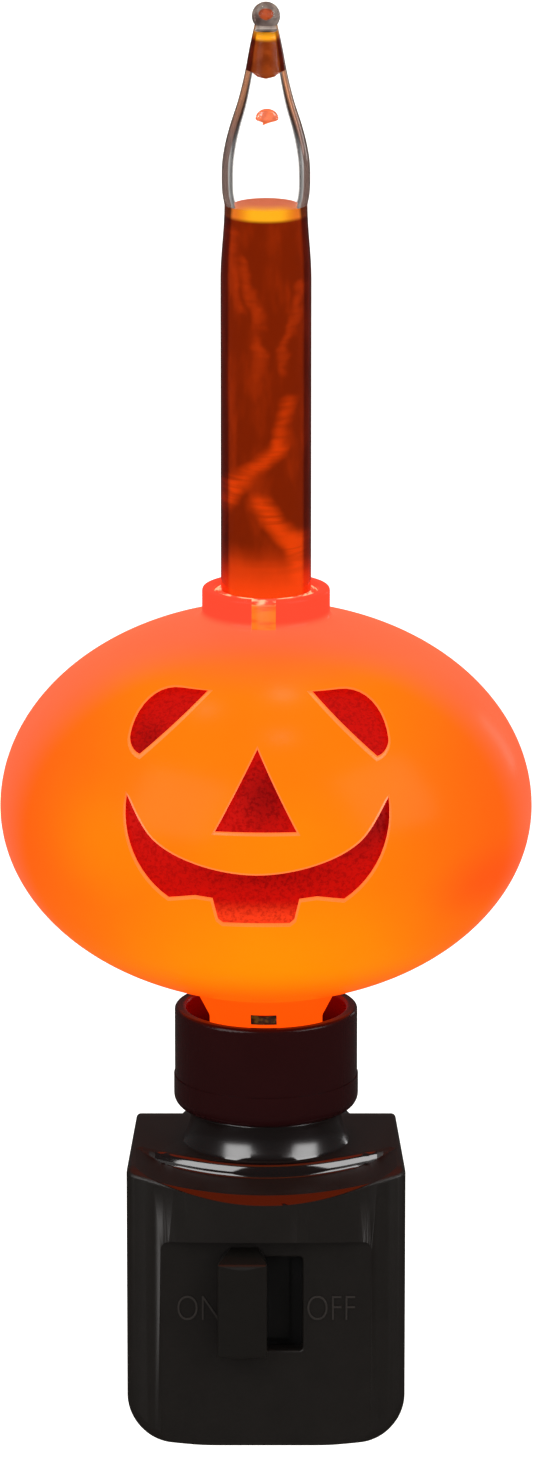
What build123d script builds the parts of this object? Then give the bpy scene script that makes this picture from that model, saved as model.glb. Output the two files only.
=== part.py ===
"""Plug-in bubble night light: a glass bubble tube on a pumpkin globe over a small switched housing.

Millimetres. The origin is the middle of the plug's wall face, between the two blades.
+Y runs into the wall, +X is to the right as seen from the front and +Z is up.
"""
from build123d import *
import math
import os

# ---- driving dimensions -------------------------------------------------------------------
# housing, a bowed box under the lamp
HOUSING_WIDTH = 30.4       # between the sides, at the depth of the bow's middle
HOUSING_HEIGHT = 30.7
HOUSING_FRONT = 15.6       # lamp axis to the middle of the bowed front
HOUSING_BACK = 9.6         # lamp axis to the flat back
SIDE_DRAFT = 2.25          # degrees, the sides spread towards the front
BOW_RADIUS = 33.5          # plan curve of the front
LOWER_CORNER_RADIUS = 5.0  # seen from the front
FRONT_EDGE_RADIUS = 1.6
ROLL_RADIUS = 5.0          # front of the top, rolled down to a crisp edge
ROLL_SWEEP = 65.0          # degrees
ROLL_BOW = 120.0           # plan curve that the roll follows
ROLL_EDGE_RADIUS = 0.5
BACK_EDGE_RADIUS = 1.0
HOUSING_WALL = 2.0
# switch in its flat panel
PANEL_WIDTH = 22.7
PANEL_SETBACK = 2.0        # behind the middle of the bow
PANEL_DROP = 7.6           # housing top to the panel's upper lip
PANEL_DRAFT = 15.0         # degrees, the lip's slope
SLOT_LEFT = -4.6
SLOT_RIGHT = 3.95
SLOT_HEIGHT = 10.6
SLOT_EDGE_RADIUS = 0.25
SLOT_DROP = 9.3            # housing top to the slot
KNOB_ROOT = 4.3            # width where it passes through the slot
KNOB_FLARE_LEFT = 0.8      # its face spreads beyond the root
KNOB_FLARE_RIGHT = 0.35
KNOB_REACH = 3.2           # proud of the panel
KNOB_RAMP = 1.2            # height of the ramp on its upper end
KNOB_EDGE_RADIUS = 0.35
SLIDER_LAP = 0.8           # slider plate beyond the slot's upper and lower edges
SLIDER_END = 0.6           # and beyond its ends
SLIDER_THICKNESS = 1.2
# swivel plug
BOSS_RADIUS = 13.0
SPIGOT_RADIUS = 8.42
BLADE_PITCH = 12.7
BLADE_WIDTH = 6.35
BLADE_THICKNESS = 1.52
BLADE_LENGTH = 16.8
BLADE_ROOT = 6.0           # length held in the plug
BLADE_HOLE = 3.2
BLADE_HOLE_DROP = 4.9      # tip to the middle of the hole
RING_OVERHANG = 0.85       # retaining ring beyond the spigot
# lamp holder
NECK_RADIUS = 8.3
NECK_FLARE = 0.8
NECK_HEIGHT = 3.8
CUP_RADIUS = 10.0
CUP_BORE = 8.6
CUP_HEIGHT = 11.2
CUP_FOOT_RADIUS = 1.4
CUP_EDGE_RADIUS = 0.4
SCREW_RADIUS = 5.85        # lamp's screw shell
SCREW_WALL = 0.35
SOCKET_CLEARANCE = 0.28    # retaining ring to the insulator's underside
SOCKET_FLOOR = 1.5         # thickness of the insulator's floor
CONTACT_HEIGHT = 2.4       # insulator's underside to the top of the centre contact
LAMP_FOOT = 4.2            # insulator's underside to the foot of the lamp's screw shell
# globe
GLOBE_RADIUS = 28.65
GLOBE_UPPER = 21.5         # semi-axis above the widest line
GLOBE_LOWER = 20.6         # semi-axis below it
GLOBE_LIFT = 22.5          # cup rim to the globe's widest line
GLOBE_WALL = 1.5
GLOBE_THROAT = 6.1         # bottom of the cone inside the cup
THROAT_WALL = 1.2          # wall of the throat and the collar
COLLAR_RADIUS = 6.85
COLLAR_TOP = 24.1          # above the widest line
FACE_DEPTH = 0.7           # pockets of the cut face
WALL_CLEARANCE = 1.35      # globe to wall
# bubble tube
TUBE_RADIUS = 4.825
GRIP_HEIGHT = 3.2          # soft ring in the collar
TUBE_WALL = 0.75
TUBE_WAIST = 4.6
TUBE_LENGTH = 91.3         # rounded foot to the sealed tip
TUBE_FOOT = -2.5           # below the globe's widest line
TIP_RADIUS = 1.5
NIP_RADIUS = 1.6           # neck under the tip
SHOULDER_DROP = 16.3       # tip to the start of the taper
LIQUID_DROP = 23.1         # tip to the liquid's surface
# bulb in the globe
BULB_RADIUS = 6.6
BULB_NECK = 3.6
BULB_WALL = 0.6
# contact strips
STRIP = 0.5                # thickness
STRIP_WIDTH = 2.0
CONTACT_LENGTH = 3.5       # fixed contacts behind the slider
CONTACT_SPREAD = 1.8       # slot's middle to the near edge of each contact
BRIDGE_LENGTH = 3.0
BRIDGE_HEIGHT = 8.0
BRIDGE_THICKNESS = 0.4
# fits
RUNNING = 0.08             # radial, parts that turn in each other
FACE_GAP = 0.1             # between faces that slide past each other
SEAT = 0.03                # between round parts that are fixed together

# ---- places worked out from them ----------------------------------------------------------
AXIS_Y = -(GLOBE_RADIUS + WALL_CLEARANCE)
FRONT_Y = AXIS_Y - HOUSING_FRONT
BACK_Y = AXIS_Y + HOUSING_BACK
PANEL_Y = FRONT_Y + PANEL_SETBACK
CAVITY_Y = PANEL_Y + HOUSING_WALL
COVER_Y = BACK_Y - HOUSING_WALL
TOP_Z = HOUSING_HEIGHT / 2
BOTTOM_Z = -TOP_Z
CUP_Z = TOP_Z + NECK_HEIGHT
RIM_Z = CUP_Z + CUP_HEIGHT
GLOBE_Z = RIM_Z + GLOBE_LIFT
TUBE_Z = GLOBE_Z + TUBE_FOOT
TIP_Z = TUBE_Z + TUBE_LENGTH
SLOT_X = (SLOT_LEFT + SLOT_RIGHT) / 2
SLOT_WIDTH = SLOT_RIGHT - SLOT_LEFT
SLOT_Z = TOP_Z - SLOT_DROP - SLOT_HEIGHT / 2
SWITCH_TRAVEL = SLOT_WIDTH - KNOB_ROOT - 2 * FACE_GAP
DRAFT = math.tan(math.radians(SIDE_DRAFT))
SOCKET_BORE = SCREW_RADIUS + RUNNING
INSULATOR_RADIUS = NECK_RADIUS - 1.2
INSULATOR_Z = SPIGOT_RADIUS + RING_OVERHANG + SOCKET_CLEARANCE
LAMP_FOOT_Z = INSULATOR_Z + LAMP_FOOT
THROAT_Z = RIM_Z - 2.6
CORE_Z = THROAT_Z + 4.1
SPIGOT_END = COVER_Y - 2.9
STUD_END = SPIGOT_END - 1.5
TAB_Z = INSULATOR_Z - 0.9
SLIDER_Y = CAVITY_Y + FACE_GAP
SLIDER_HEIGHT = SLOT_HEIGHT + 2 * SLIDER_LAP
CONTACT_Y = SLIDER_Y + SLIDER_THICKNESS + BRIDGE_THICKNESS + FACE_GAP
LEFT_STRIP_X = SLOT_LEFT - 3.15


# ---- helpers ------------------------------------------------------------------------------
def view_plane(y):
    """Plane across the lamp, seen from the front: local x is X and local y is Z."""
    return Plane(origin=(0, y, 0), x_dir=(1, 0, 0), z_dir=(0, -1, 0))


def block(x, y, z):
    """Box between two limits along each axis."""
    low, high = zip(sorted(x), sorted(y), sorted(z))
    size = [b - a for a, b in zip(low, high)]
    return Pos(*[(a + b) / 2 for a, b in zip(low, high)]) * Box(*size)


def turned(*edges):
    """Revolve an outline drawn as (radius, height) about the lamp axis."""
    section = Plane.YZ * make_face(list(edges))
    return Pos(0, AXIS_Y, 0) * revolve(section, Axis.Z)


def turned_points(points):
    """Revolve a straight-sided outline of (radius, height) points about the lamp axis."""
    return turned(Polyline(*points, close=True))


def ring(outer, inner, low, high):
    """Plain ring about the lamp axis."""
    return turned_points([(inner, low), (outer, low), (outer, high), (inner, high)])


def swivel_disc(radius, near, far):
    """Disc about the swivel axis, from one depth back to another."""
    return extrude(view_plane(far) * Circle(radius), far - near)


# ---- housing ------------------------------------------------------------------------------
def side_x(y):
    """Half width of the drafted housing at one depth."""
    return HOUSING_WIDTH / 2 - (y - FRONT_Y) * DRAFT


def drafted_prism(plan, inset):
    """Raise a plan to the housing's height, less a wall, and round its two lower edges."""
    body = Pos(0, 0, BOTTOM_Z + inset) * extrude(plan, HOUSING_HEIGHT - 2 * inset)
    lower = body.edges().group_by(Axis.Z)[0]
    return fillet(lower.filter_by(lambda e: abs(e.tangent_at(0.5).Y) > 0.9), LOWER_CORNER_RADIUS - inset)


def housing_form(inset, front, back):
    """Drafted block of the housing between two depths, drawn in by a wall."""
    half_front, half_back = side_x(front) - inset, side_x(back) - inset
    plan = make_face(Polyline((-half_front, front), (half_front, front), (half_back, back),
                              (-half_back, back), close=True))
    return drafted_prism(plan, inset)


def bow_corner():
    """Where the bowed front meets the drafted side, as (half width, depth)."""
    b = HOUSING_WIDTH * DRAFT + 2 * BOW_RADIUS
    a = 1 + DRAFT ** 2
    depth = FRONT_Y + (b - math.sqrt(b ** 2 - a * HOUSING_WIDTH ** 2)) / (2 * a)
    return side_x(depth), depth


def bowed_body():
    """Outside of the housing: drafted body, bowed front, rolled top edge and sunk switch panel."""
    x, y = bow_corner()
    back_x = side_x(BACK_Y)
    plan = make_face([
        ThreePointArc((-x, y), (0, FRONT_Y), (x, y)),
        Polyline((x, y), (back_x, BACK_Y), (-back_x, BACK_Y), (-x, y)),
    ])
    body = drafted_prism(plan, 0)
    rim = body.edges().filter_by(lambda e: e.center().Y < y + 1 and e.center().Z < TOP_Z - 1
                                 and abs(e.tangent_at(0.5).Y) < 0.5)
    body = fillet(rim, FRONT_EDGE_RADIUS)
    body = fillet(body.faces().sort_by(Axis.Y)[-1].edges(), BACK_EDGE_RADIUS) & roll_profile()
    roll_edge = body.edges().filter_by(lambda e: e.center().Y < FRONT_Y + 0.3 and e.length > HOUSING_WIDTH / 2)
    body = fillet(roll_edge.sort_by(Axis.Z)[-1], ROLL_EDGE_RADIUS)
    panel = Rectangle(PANEL_WIDTH, HOUSING_HEIGHT)
    panel = fillet(panel.vertices().group_by(Axis.Y)[-1], 0.9)
    panel_top = TOP_Z - PANEL_DROP
    panel = view_plane(PANEL_Y) * Pos(0, panel_top - HOUSING_HEIGHT / 2) * panel
    return body - extrude(panel, HOUSING_FRONT, taper=-PANEL_DRAFT)


def roll_profile():
    """Side view swept along the roll's bow: it rolls the top down over the front."""
    centre = (FRONT_Y + 4.5, TOP_Z - ROLL_RADIUS)
    sweep = math.radians(ROLL_SWEEP)
    edge = (centre[0] - ROLL_RADIUS * math.sin(sweep), centre[1] + ROLL_RADIUS * math.cos(sweep))
    middle = (centre[0] - ROLL_RADIUS * math.sin(sweep / 2), centre[1] + ROLL_RADIUS * math.cos(sweep / 2))
    far = BACK_Y + 2
    outline = make_face([
        ThreePointArc((centre[0], TOP_Z), middle, edge),
        Polyline(edge, (FRONT_Y - 2, edge[1]), (FRONT_Y - 2, BOTTOM_Z - 1), (far, BOTTOM_Z - 1),
                 (far, TOP_Z), (centre[0], TOP_Z)),
    ])
    sweep = math.degrees(math.asin(HOUSING_WIDTH / 2 / ROLL_BOW)) + 4
    bow_axis = Axis((0, FRONT_Y + ROLL_BOW, 0), (0, 0, 1))
    return revolve(Plane.YZ * outline, bow_axis, 2 * sweep).rotate(bow_axis, -sweep)


def slot_cutter(width, height, near, far):
    """Rounded block for the switch slot."""
    outline = view_plane(far) * Pos(SLOT_X, SLOT_Z) * RectangleRounded(width, height, 0.4)
    return extrude(outline, far - near)


def housing_shell():
    """Front, top, bottom and sides in one moulding, open at the back, with the lamp's neck."""
    shell = bowed_body()
    shell -= housing_form(HOUSING_WALL, CAVITY_Y, BACK_Y + 1)
    shell -= block((-HOUSING_WIDTH, HOUSING_WIDTH), (COVER_Y, BACK_Y + 1), (BOTTOM_Z - 1, TOP_Z + 1))
    foot_radius = NECK_RADIUS + NECK_FLARE
    neck = turned(
        Line((0, TOP_Z), (foot_radius, TOP_Z)),
        ThreePointArc((foot_radius, TOP_Z), (NECK_RADIUS + 0.25 * NECK_FLARE, TOP_Z + 0.3 * NECK_HEIGHT),
                      (NECK_RADIUS, CUP_Z)),
        Polyline((NECK_RADIUS, CUP_Z), (0, CUP_Z), (0, TOP_Z)),
    )
    shell += neck
    shell -= ring(INSULATOR_RADIUS + SEAT, 0, TOP_Z - HOUSING_WALL - 1, CUP_Z + 1)
    shell -= slot_cutter(SLOT_WIDTH, SLOT_HEIGHT, PANEL_Y - 1, CAVITY_Y + 1)
    slot_rim = shell.edges().filter_by(lambda e: abs(e.center().Y - PANEL_Y) < SEAT
                                       and abs(e.center().X - SLOT_X) < SLOT_WIDTH / 2 + SEAT
                                       and abs(e.center().Z - SLOT_Z) < SLOT_HEIGHT / 2 + SEAT)
    shell = fillet(slot_rim, SLOT_EDGE_RADIUS)
    for side in (-1, 1):
        z = SLOT_Z + side * (SLIDER_HEIGHT / 2 + FACE_GAP)
        rail_x = side_x(CAVITY_Y) - HOUSING_WALL
        shell += block((-rail_x, rail_x), (CAVITY_Y, CAVITY_Y + 2 * SLIDER_THICKNESS),
                       (z, z + side * SLIDER_THICKNESS))
    return shell


def back_cover():
    """Flat back with the bearing hole for the plug and a locating lip."""
    cover = bowed_body() & block((-HOUSING_WIDTH, HOUSING_WIDTH), (COVER_Y, BACK_Y), (BOTTOM_Z, TOP_Z))
    lip_depth = 1.5
    lip = housing_form(HOUSING_WALL + FACE_GAP, COVER_Y - lip_depth, COVER_Y)
    lip -= housing_form(HOUSING_WALL + 1.3, COVER_Y - lip_depth - 1, COVER_Y + 1)
    clear = INSULATOR_RADIUS + 1
    lip -= block((-clear, clear), (COVER_Y - lip_depth, COVER_Y), (0, TOP_Z))
    cover += lip
    return cover - swivel_disc(SPIGOT_RADIUS + RUNNING, COVER_Y - 5, BACK_Y + 1)


# ---- switch -------------------------------------------------------------------------------
def switch_slider():
    """Plate that closes the slot at both ends of its travel, with a raised pad under the knob."""
    left, right = SLOT_LEFT - SWITCH_TRAVEL - SLIDER_END, SLOT_RIGHT + SLIDER_END
    low, high = SLOT_Z - SLIDER_HEIGHT / 2, SLOT_Z + SLIDER_HEIGHT / 2
    step_y = SLIDER_Y + SLIDER_THICKNESS / 2
    ledge = SLIDER_END + 1.45
    plate = block((left, right), (step_y, SLIDER_Y + SLIDER_THICKNESS), (low, high))
    return plate + block((left + ledge, right - ledge), (SLIDER_Y, step_y), (low + SLIDER_LAP + 0.75, high))


def switch_knob():
    """Thumb piece: it spreads from its root to a slightly bowed face and has a ramp on its upper end."""
    face_y = PANEL_Y - KNOB_REACH
    bow = 0.25
    left = SLOT_LEFT + FACE_GAP
    right = left + KNOB_ROOT
    face_left, face_right = left - KNOB_FLARE_LEFT, right + KNOB_FLARE_RIGHT
    middle = (face_left + face_right) / 2
    plan = make_face([
        ThreePointArc((face_left, face_y + bow), (middle, face_y), (face_right, face_y + bow)),
        Polyline((face_right, face_y + bow), (right, PANEL_Y - FACE_GAP), (right, SLIDER_Y),
                 (left, SLIDER_Y), (left, PANEL_Y - FACE_GAP), (face_left, face_y + bow)),
    ])
    low = SLOT_Z - SLOT_HEIGHT / 2 + FACE_GAP
    high = SLOT_Z + SLOT_HEIGHT / 2 - FACE_GAP
    ramp_top = high + KNOB_RAMP
    knob = Pos(0, 0, low) * extrude(plan, ramp_top - low)
    knob = fillet(knob.faces().sort_by(Axis.Y)[0].edges(), KNOB_EDGE_RADIUS)
    side = make_face(Polyline((face_y, low), (SLIDER_Y, low), (SLIDER_Y, high), (PANEL_Y - FACE_GAP, high),
                              (PANEL_Y - FACE_GAP, ramp_top), (face_y, high), close=True))
    brow = side.vertices().sort_by_distance((face_y, high))[0]
    knob &= extrude(Plane.YZ * fillet(brow, 2 * KNOB_EDGE_RADIUS), HOUSING_WIDTH, both=True)
    taper = KNOB_ROOT / 6
    front = make_face(Polyline((face_left, low), (face_right, low), (face_right, high),
                               (right - taper, ramp_top), (left + taper, ramp_top), (face_left, high),
                               close=True))
    return knob & extrude(view_plane(SLIDER_Y) * front, KNOB_REACH + HOUSING_WALL + PANEL_SETBACK)


def switch_bridge():
    """Brass bridge on the back of the slider that joins the two fixed contacts when on."""
    near = SLIDER_Y + SLIDER_THICKNESS
    left = LEFT_STRIP_X + 1
    return block((left, left + BRIDGE_LENGTH), (near, near + BRIDGE_THICKNESS),
                 (SLOT_Z - BRIDGE_HEIGHT / 2, SLOT_Z + BRIDGE_HEIGHT / 2))


def switch_contact(low):
    """Fixed contact behind the slider, the start of a strip."""
    return block((LEFT_STRIP_X, LEFT_STRIP_X + CONTACT_LENGTH), (CONTACT_Y, CONTACT_Y + STRIP),
                 (low, low + STRIP_WIDTH))


def lamp_strip():
    """Strip from the switch to the socket's centre contact."""
    x = LEFT_STRIP_X
    low = SLOT_Z + CONTACT_SPREAD
    near, far = AXIS_Y - 1.5, AXIS_Y + 1.5
    strip = switch_contact(low)
    strip += block((x, x + STRIP), (CONTACT_Y, far), (low, low + STRIP_WIDTH))
    strip += block((x, x + STRIP), (near, far), (low, TAB_Z))
    return strip + block((x, 1.5), (near, far), (TAB_Z - STRIP, TAB_Z))


def line_strip():
    """Strip from the switch to the stud in the middle of the swivel plug."""
    x = LEFT_STRIP_X
    low = SLOT_Z - CONTACT_SPREAD - STRIP_WIDTH
    wipe = STUD_END - FACE_GAP
    strip = switch_contact(low)
    strip += block((x, x + STRIP), (CONTACT_Y, wipe), (low, low + STRIP_WIDTH))
    return strip + block((x, 1.5), (wipe - STRIP, wipe), (low, low + STRIP_WIDTH))


def neutral_strip():
    """Strip from the plug's outer ring up through the insulator's window to the screw shell."""
    wipe = SPIGOT_END - STRIP - FACE_GAP
    x = BLADE_PITCH / 2 + 2.1
    half = STRIP_WIDTH / 2
    shell_x = SOCKET_BORE + SCREW_WALL
    shelf = INSULATOR_Z + 0.8
    strip = block((BLADE_PITCH / 2 - 0.9, x), (wipe - STRIP, wipe), (-half, half))
    strip += block((x - STRIP, x), (AXIS_Y - half, wipe), (-half, half))
    strip += block((x - STRIP, x), (AXIS_Y - half, AXIS_Y + half), (-half, shelf + STRIP))
    strip += block((shell_x, x), (AXIS_Y - half, AXIS_Y + half), (shelf, shelf + STRIP))
    return strip + block((shell_x, shell_x + STRIP), (AXIS_Y - half, AXIS_Y + half), (shelf, shelf + 2.6))


# ---- lamp holder --------------------------------------------------------------------------
def socket_cup():
    """Plain cup on the neck around the socket, with a rounded foot and a hair-line step."""
    step_z = CUP_Z + 0.32 * CUP_HEIGHT
    upper = CUP_RADIUS - 0.1
    foot = CUP_RADIUS - CUP_FOOT_RADIUS
    foot_mid = CUP_FOOT_RADIUS * (1 - math.sqrt(0.5))
    floor = CUP_Z + 1.6
    cup = turned(
        Line((INSULATOR_RADIUS + SEAT, CUP_Z), (foot, CUP_Z)),
        ThreePointArc((foot, CUP_Z), (CUP_RADIUS - foot_mid, CUP_Z + foot_mid),
                      (CUP_RADIUS, CUP_Z + CUP_FOOT_RADIUS)),
        Polyline((CUP_RADIUS, CUP_Z + CUP_FOOT_RADIUS), (CUP_RADIUS, step_z), (upper, step_z),
                 (upper, RIM_Z), (CUP_BORE, RIM_Z), (CUP_BORE, floor), (INSULATOR_RADIUS + SEAT, floor),
                 (INSULATOR_RADIUS + SEAT, CUP_Z)),
    )
    return fillet(cup.edges().group_by(Axis.Z)[-1], CUP_EDGE_RADIUS)


def socket_insulator():
    """Moulded tube that carries the screw shell, with a floor and a side window for the strip."""
    inner = SOCKET_BORE + SCREW_WALL
    top = RIM_Z - 3.1
    floor = INSULATOR_Z + SOCKET_FLOOR
    body = turned_points([(0, INSULATOR_Z), (INSULATOR_RADIUS, INSULATOR_Z), (INSULATOR_RADIUS, top),
                          (inner, top), (inner, floor), (0, floor)])
    body -= ring(1.0, 0, INSULATOR_Z - 1, floor + 1)
    half = STRIP_WIDTH / 2 + FACE_GAP
    window = block((inner - 0.6, INSULATOR_RADIUS + 1), (AXIS_Y - half, AXIS_Y + half),
                   (INSULATOR_Z - 1, INSULATOR_Z + 3.6))
    return body - window


def socket_screw_shell():
    """Brass shell with an in-turned foot."""
    floor = INSULATOR_Z + SOCKET_FLOOR
    outer, inner = SOCKET_BORE + SCREW_WALL - 0.02, SOCKET_BORE
    top = RIM_Z - 3.4
    return turned_points([(inner - 1.2, floor), (outer, floor), (outer, top), (inner, top),
                          (inner, floor + SCREW_WALL), (inner - 1.2, floor + SCREW_WALL)])


def socket_centre_contact():
    """Raised contact on the floor of the insulator, with a tab through it."""
    floor = INSULATOR_Z + SOCKET_FLOOR
    top = INSULATOR_Z + CONTACT_HEIGHT
    return turned_points([(0, TAB_Z), (0.97, TAB_Z), (0.97, floor), (2.4, floor), (2.4, top - 0.4),
                          (1.6, top), (0, top)])


# ---- swivel plug --------------------------------------------------------------------------
def blade(side):
    """Flat blade with a bevelled tip and a hole, and a narrow tang through the plug."""
    x = side * BLADE_PITCH / 2
    outline = Rectangle(BLADE_WIDTH, BLADE_LENGTH + BLADE_ROOT)
    outline = chamfer(outline.vertices().group_by(Axis.Y)[-1], 0.22 * BLADE_WIDTH)
    outline = Pos(0, (BLADE_LENGTH - BLADE_ROOT) / 2) * outline
    outline -= Pos(0, BLADE_LENGTH - BLADE_HOLE_DROP) * Circle(BLADE_HOLE / 2)
    side_plane = Plane(origin=(x, 0, 0), x_dir=(0, 0, -1), z_dir=(1, 0, 0))
    flat = extrude(side_plane * outline, BLADE_THICKNESS / 2, both=True)
    tip = flat.edges().filter_by(Axis.Z).sort_by(Axis.Y)[-2:]
    flat = chamfer(tip, 0.23 * BLADE_THICKNESS)
    tang_end = SPIGOT_END if side < 0 else SPIGOT_END + 1.5
    return flat + block((x - 0.5, x + 0.5), (tang_end, 0.1 - BLADE_ROOT), (-1, 1))


def stud_contact():
    """Contact stud in the middle of the spigot, with the arm that reaches the right-hand tang."""
    stud = swivel_disc(2.6, STUD_END, SPIGOT_END)
    stud += swivel_disc(1.2, SPIGOT_END, SPIGOT_END + 1.0)
    return stud + block((-1, BLADE_PITCH / 2 + 0.5), (SPIGOT_END + 1.0, SPIGOT_END + 1.5), (-1, 1))


def outer_contact_ring():
    """Slip ring on the end of the spigot, fed by the left-hand tang."""
    outer = swivel_disc(BLADE_PITCH / 2 + 0.9, SPIGOT_END - STRIP, SPIGOT_END)
    return outer - swivel_disc(BLADE_PITCH / 2 - 0.9, SPIGOT_END - STRIP, SPIGOT_END)


def groove():
    """Depths of the retaining ring's groove, just inside the cover."""
    return COVER_Y - FACE_GAP - 1.0, COVER_Y - FACE_GAP


def groove_radius():
    return SPIGOT_RADIUS - 0.7


def retaining_ring():
    """Spring ring that holds the plug in the cover, open at one side."""
    near, far = groove()
    clip = swivel_disc(SPIGOT_RADIUS + RING_OVERHANG, near, far) - swivel_disc(groove_radius(), near, far)
    return clip - block((-1.5, 1.5), (near, far), (-BOSS_RADIUS, 0))


def plug_body():
    """Round boss against the wall, with a spigot that turns in the cover."""
    body = swivel_disc(BOSS_RADIUS, BACK_Y + FACE_GAP, 0)
    body = chamfer(body.edges().sort_by(Axis.Y)[-1:], 0.6)
    body += swivel_disc(SPIGOT_RADIUS, SPIGOT_END, BACK_Y + FACE_GAP)
    near, far = groove()
    body -= swivel_disc(SPIGOT_RADIUS + 1, near, far) - swivel_disc(groove_radius(), near, far)
    for piece in (blade(-1), blade(1), stud_contact()):
        body -= piece
    return body


# ---- lamp ---------------------------------------------------------------------------------
def lamp_screw_shell():
    """Brass shell of the lamp's base with an in-turned foot."""
    outer, inner = SCREW_RADIUS, SCREW_RADIUS - SCREW_WALL
    foot = LAMP_FOOT_Z
    return turned_points([(inner - 0.9, foot), (outer - 0.7, foot), (outer, foot + 0.9), (outer, THROAT_Z),
                          (inner, THROAT_Z), (inner, foot + 1.1), (inner - 0.9, foot + SCREW_WALL)])


def lamp_insulator():
    """Glass button under the screw shell, around the centre contact."""
    top = LAMP_FOOT_Z - FACE_GAP
    return turned_points([(1.9, top - 1.1), (2.6, top - 1.1), (3.9, top), (1.9, top)])


def lamp_centre_contact():
    """Solder tip in the middle of the base."""
    low = INSULATOR_Z + CONTACT_HEIGHT + FACE_GAP
    top = LAMP_FOOT_Z - FACE_GAP
    return turned(
        ThreePointArc((0, low), (1.1, low + 0.25), (1.87, low + 0.9)),
        Polyline((1.87, low + 0.9), (1.87, top), (0, top), (0, low)),
    )


def lamp_core():
    """Moulded core in the screw shell; its upper part carries the globe and the bulb."""
    lower = SCREW_RADIUS - SCREW_WALL - SEAT
    upper = GLOBE_THROAT - THROAT_WALL - SEAT
    foot = LAMP_FOOT_Z + 1.2
    bore = 2.2
    return turned_points([(bore, foot), (lower, foot), (lower, THROAT_Z), (upper, THROAT_Z),
                          (upper, CORE_Z), (bore, CORE_Z)])


def bulb_envelope():
    """Small candle bulb, open at the foot where it is cemented to the core."""
    middle = TUBE_Z - 1.2 - BULB_RADIUS
    shoulder = math.radians(-50)

    def wall_line(inset):
        r = BULB_RADIUS - inset
        start = (r * math.cos(shoulder), middle + r * math.sin(shoulder))
        return [
            Line((BULB_NECK - inset, CORE_Z), start),
            ThreePointArc(start, (r, middle), (r * math.sqrt(0.5), middle + r * math.sqrt(0.5))),
            ThreePointArc((r * math.sqrt(0.5), middle + r * math.sqrt(0.5)),
                          (r * math.sin(math.pi / 8), middle + r * math.cos(math.pi / 8)), (0, middle + r)),
        ]

    top = middle + BULB_RADIUS
    return turned(
        *wall_line(0), Line((0, top), (0, top - BULB_WALL)), *wall_line(BULB_WALL),
        Line((BULB_NECK - BULB_WALL, CORE_Z), (BULB_NECK, CORE_Z)),
    )


def bulb_stem():
    """Pressed glass stem inside the bulb."""
    low = CORE_Z
    return turned_points([(0, low), (2.6, low), (1.6, low + 2.4), (1.0, low + 2.4), (1.0, low + 5.0),
                          (0, low + 5.0)])


def bulb_lead(side):
    """Support wire from the stem's shoulder to one end of the filament."""
    low, high = CORE_Z + 2.4, CORE_Z + 8.6
    return Pos(side * 1.3, AXIS_Y, (low + high) / 2) * Cylinder(0.25, high - low)


def bulb_filament():
    """Coiled filament across the tops of the wires, as one fine rod."""
    return Pos(0, AXIS_Y, CORE_Z + 8.85) * Rot(0, 90, 0) * Cylinder(0.25, 3.2)


# ---- globe --------------------------------------------------------------------------------
def spheroid_edge(inset, upper, start, end):
    """Quarter outline of the globe, (radius, height), drawn in by a wall."""
    height = (GLOBE_UPPER if upper else GLOBE_LOWER) - inset
    return EllipticalCenterArc((0, GLOBE_Z), GLOBE_RADIUS - inset, height, start_angle=start,
                               arc_size=end - start)


def globe_solid(inset):
    """Filled form of the globe with its cone and collar, drawn in by a wall."""
    spheroid = turned(
        spheroid_edge(inset, True, 0, 90), spheroid_edge(inset, False, 0, -90),
        Line((0, GLOBE_Z - GLOBE_LOWER + inset), (0, GLOBE_Z + GLOBE_UPPER - inset)),
    )
    cone_top = RIM_Z + 2.7
    throat = GLOBE_THROAT - (THROAT_WALL if inset else 0)
    shoulder = throat + 1.9
    cone = turned_points([
        (0, THROAT_Z), (throat, THROAT_Z), (throat, RIM_Z - 0.9), (shoulder, cone_top),
        (shoulder + 2.4, cone_top + 1.6), (0, cone_top + 1.6),
    ])
    collar_outer = COLLAR_RADIUS - (THROAT_WALL if inset else 0)
    collar_top = GLOBE_Z + COLLAR_TOP
    round_off = 0.4
    collar = turned(
        Polyline((0, collar_top - 8), (collar_outer, collar_top - 8), (collar_outer, collar_top - round_off)),
        ThreePointArc((collar_outer, collar_top - round_off),
                      (collar_outer - 0.3 * round_off, collar_top - 0.3 * round_off),
                      (collar_outer - round_off, collar_top)),
        Polyline((collar_outer - round_off, collar_top), (0, collar_top), (0, collar_top - 8)),
    )
    if inset:
        collar += ring(collar_outer, 0, collar_top - 1, collar_top + 1)
        cone += ring(throat, 0, THROAT_Z - 1, THROAT_Z + 1)
    return spheroid + cone + collar


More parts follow.
